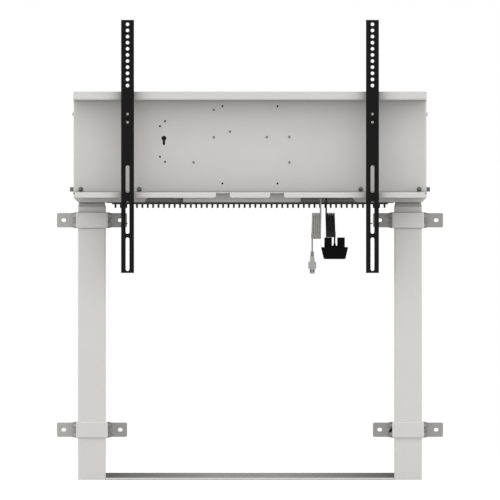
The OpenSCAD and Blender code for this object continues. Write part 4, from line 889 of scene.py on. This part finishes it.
class DISPLAYLIFT_OT_drive(bpy.types.Operator):
    """Spindles, nuts, bearings, head brackets, gearboxes and motors"""

    bl_idname = "display_lift.drive"
    bl_label = "Spindle Drives"

    def execute(self, context):
        acetal = moulded("nut_acetal", linear("#DAD7C8"), roughness=0.38, ior=1.48)
        steel = ground_steel("spindle_steel", linear("#B9BBBC"))
        race = ground_steel("bearing_steel", linear("#B4B6B7"))
        bracket = zinc_plate("bracket_zinc", linear("#9A9C9D"))
        casting = die_cast("gearbox_casting", linear("#8A8C8D"))
        enamel = powder_coat("motor_enamel", linear("#2B2B2C"), roughness=0.38, specular=0.3)
        for side in SIDES:
            softened(f"spindle_{side}", steel, EDGE_SMALL)
            softened(f"spindle_nut_{side}", acetal, EDGE_SMALL)
            softened(f"spindle_bearing_{side}", race, EDGE_THIN)
            softened(f"head_bracket_{side}", bracket, EDGE_CUT)
            softened(f"gearbox_{side}", casting, EDGE_BOX)
            softened(f"motor_{side}", enamel, EDGE_CUT)
        return {"FINISHED"}


class DISPLAYLIFT_OT_brackets(bpy.types.Operator):
    """Painted clamps round the columns and zinc wall plates"""

    bl_idname = "display_lift.brackets"
    bl_label = "Wall Brackets"

    def execute(self, context):
        sizes, colours = chosen(context)
        # The right pair's zinc is set darker, and the inner ears darker still: painted shade,
        # for light that falls more from the left
        zinc = {"left": zinc_plate("wall_plate_zinc", colours.zinc[:], inner=0.76),
                "right": zinc_plate("wall_plate_zinc_shaded", shade(colours.zinc[:], 0.83),
                                    inner=0.92)}
        # Painted shadow of the housing on the upper clamps, and painted shade in their corners
        paint = powder_coat("clamp_powder_coat", colours.paint[:], corner=0.61, reach=0.15,
                            above=0.25)
        for level in ("upper", "lower"):
            for side in SIDES:
                softened(f"wall_plate_{level}_{side}", zinc[side], sizes.edge)
                softened(f"clamp_{level}_{side}", paint, sizes.edge, sharp=20)
        return {"FINISHED"}


class DISPLAYLIFT_OT_tray(bpy.types.Operator):
    """Open tray between the columns, on the floor"""

    bl_idname = "display_lift.tray"
    bl_label = "Floor Tray"

    def execute(self, context):
        sizes, colours = chosen(context)
        tray = softened("floor_tray", tray_coat("tray_coat", colours.tray[:]), sizes.edge)
        # The front lip gets its own coat, lighter than the tray's inside
        lip_rear, underside = min(v.co.y for v in tray.data.vertices) + 0.0024, 0.0003
        recoat(tray, powder_coat("tray_lip_coat", linear("#E0DFDD"), corner=1.0),
               lambda at: at.y < lip_rear and at.z > underside)
        return {"FINISHED"}


class DISPLAYLIFT_OT_housing(bpy.types.Operator):
    """Back plate, notched lower shelf, top and rear cover, comb, screws and rivets"""

    bl_idname = "display_lift.housing"
    bl_label = "Housing"

    def execute(self, context):
        sizes, colours = chosen(context)
        # Painted shade in the housing's corners, and wider painted shade where a bar or a deep
        # shelf stands in front
        paint = powder_coat("housing_powder_coat", colours.plate[:], corner=0.6, hollow=0.84)
        screw = black_zinc("screw_black_zinc", linear("#6A6A6B"))
        rivet = zinc_plate("rivet_aluminium", linear("#C4C4C2"), roughness=0.35)
        comb = moulded("comb_polyamide", linear("#363636"), specular=0.25, ior=1.53)
        relief = rubber("relief_epdm", linear("#343434"))
        # Painted shade on both lips beside the bars, which reaches 50 mm
        lip_paint = powder_coat("lip_powder_coat", colours.paint[:], corner=0.62, reach=0.05)
        softened("lower_rail", lip_paint, sizes.edge)
        softened("top_cover", paint, sizes.edge)
        cover = softened("rear_cover", paint, sizes.edge)
        # The rear cover's inside is painted darker: painted shade inside the housing, where it
        # shows through the plate's cut-outs
        inside = min(v.co.y for v in cover.data.vertices)
        recoat(cover, powder_coat("rear_cover_inside_shade", linear("#989795")),
               lambda at: at.y < inside + IN_PLANE)
        plate = softened("back_plate", paint, sizes.edge)
        # The weld studs were copper plated before they were coated, and show darker.
        # They stand just before the plate, between its shelf and its lower edge
        stud_front, stud_rear, stud_low, stud_top = 0.0030, 0.0042, 0.72, 0.925
        recoat(plate, moulded("stud_steel", linear("#7F7D7A"), roughness=0.5),
               lambda at: stud_front < at.y < stud_rear and stud_low < at.z < stud_top)
        # The upper lip gets the lip paint, a shade lighter than the plate, with painted shade
        # beside the bars
        lip_rear = -0.048
        recoat(plate, lip_paint, lambda at: at.y < lip_rear)
        softened("housing_screws", screw, EDGE_SMALL)
        softened("cover_rivets", rivet, EDGE_SMALL)
        softened("cable_comb", comb, EDGE_SMALL)
        self.fittings(comb, screw)
        softened("cable_reliefs", relief, EDGE_THIN)
        return {"FINISHED"}

    @staticmethod
    def fittings(comb, screw):
        """Comb ends, dark pads of painted shade behind the plate's spare holes, rear screws,
        and dark shelf end plugs of painted shade
        """
        # The comb's ends: a low strip on each side, past its last tooth
        for side, sign in SIDES.items():
            block_piece("comb_end_" + side, comb, EDGE_SMALL,
                        [around((sign * 0.3445, 0.00825, 0.680025),
                                (0.008, 0.0014, 0.000925))])

        # Black pads behind the plate's holes: painted shade, so that the holes show dark. One
        # behind the squares of holes on the left, and one behind each of the four holes round
        # the middle
        front, rear, half = 0.00682, 0.0081, 0.01
        pads = [((-0.3185, front, 0.770), (-0.1975, rear, 0.890))]
        for x in (-0.0676, 0.0676):
            for z in (0.727, 0.9167):
                pads.append(((x - half, front, z - half), (x + half, rear, z + half)))
        block_piece("hole_shade_pads", rubber("hole_shade_black", linear("#0B0B0B")),
                    EDGE_CUT, pads)

        # Ten screws in two rows near the rear cover's upper and lower edge
        cover_rear = 0.06832
        shape = bmesh.new()
        for x in (-0.423, -0.212, 0.0, 0.212, 0.423):
            for z in (0.690, 0.921):
                add_pan_head(shape, (x, cover_rear, z), radius=0.0036, height=0.0019)
        place_on(mesh_piece("rear_cover_screws", shape), "carriage", screw)

        # Dark plugs in the corners where the lower shelf's fold is left open: painted shade,
        # for the shade inside the open fold
        block_piece("shelf_end_shade_plugs",
                    rubber("shelf_end_shade_black", linear("#1E1E1E")), EDGE_CUT,
                    [around((sign * 0.4312, -0.05235, 0.70285), (0.0016, 0.00115, 0.00165))
                     for sign in SIDES.values()])


class DISPLAYLIFT_OT_bars(bpy.types.Operator):
    """Display bars with their catches and rivets"""

    bl_idname = "display_lift.bars"
    bl_label = "Display Bars"

    def execute(self, context):
        sizes, colours = chosen(context)
        # The coat keeps its painted shade in corners
        black = powder_coat("bar_powder_coat", colours.black[:], roughness=0.5, specular=0.08)
        catch = black_zinc("catch_black_zinc", linear("#2C2C2D"))
        rivet = zinc_plate("catch_rivet_zinc", linear("#8E8E8D"))
        for side in SIDES:
            softened(f"bar_{side}", black, sizes.edge)
            softened(f"bar_catch_{side}", catch, EDGE_SMALL)
            softened(f"catch_rivets_{side}", rivet, EDGE_SMALL)
        return {"FINISHED"}


class DISPLAYLIFT_OT_boxes(bpy.types.Operator):
    """Control box, power supply and mains inlet behind the back plate"""

    bl_idname = "display_lift.boxes"
    bl_label = "Electronics Boxes"

    def execute(self, context):
        control = moulded("control_box_abs", linear("#2A2A2B"), grain=0.9, specular=0.3)
        supply = zinc_plate("power_supply_zinc", linear("#8E8F8E"), roughness=0.5)
        inlet = moulded("inlet_polyamide", linear("#848483"), specular=0.3, ior=1.53)
        softened("control_box", control, EDGE_BOX)
        softened("power_supply", supply, EDGE_BOX)
        softened("mains_inlet", inlet, EDGE_SMALL)
        return {"FINISHED"}


OPERATORS = (DISPLAYLIFT_OT_stage, DISPLAYLIFT_OT_cables, DISPLAYLIFT_OT_columns,
             DISPLAYLIFT_OT_drive, DISPLAYLIFT_OT_brackets, DISPLAYLIFT_OT_tray,
             DISPLAYLIFT_OT_housing, DISPLAYLIFT_OT_bars, DISPLAYLIFT_OT_boxes)


class DISPLAYLIFT_PT_panel(bpy.types.Panel):
    """Lists the lift's pieces in the sidebar"""

    bl_label = "Display Lift"
    bl_idname = "DISPLAYLIFT_PT_panel"
    bl_space_type = "VIEW_3D"
    bl_region_type = "UI"
    bl_category = "Display Lift"

    def draw(self, context):
        for owner in chosen(context):
            box = self.layout.box()
            for name in owner.__annotations__:
                box.prop(owner, name)
        for operator in OPERATORS:
            self.layout.operator(operator.bl_idname)


CLASSES = (LiftSizes, LiftColours, *OPERATORS, DISPLAYLIFT_PT_panel)


def register():
    """Makes the classes and both groups of settings known to Blender."""
    for cls in CLASSES:
        bpy.utils.register_class(cls)
    bpy.types.Scene.display_lift_sizes = PointerProperty(type=LiftSizes)
    bpy.types.Scene.display_lift_colours = PointerProperty(type=LiftColours)


def unregister():
    """Takes the settings and the classes back, the last one first."""
    del bpy.types.Scene.display_lift_colours
    del bpy.types.Scene.display_lift_sizes
    for cls in reversed(CLASSES):
        bpy.utils.unregister_class(cls)


def main():
    """Builds the whole lift."""
    register()
    for operator in OPERATORS:
        group, name = operator.bl_idname.split(".")
        getattr(getattr(bpy.ops, group), name)()


if __name__ == "__main__":
    main()
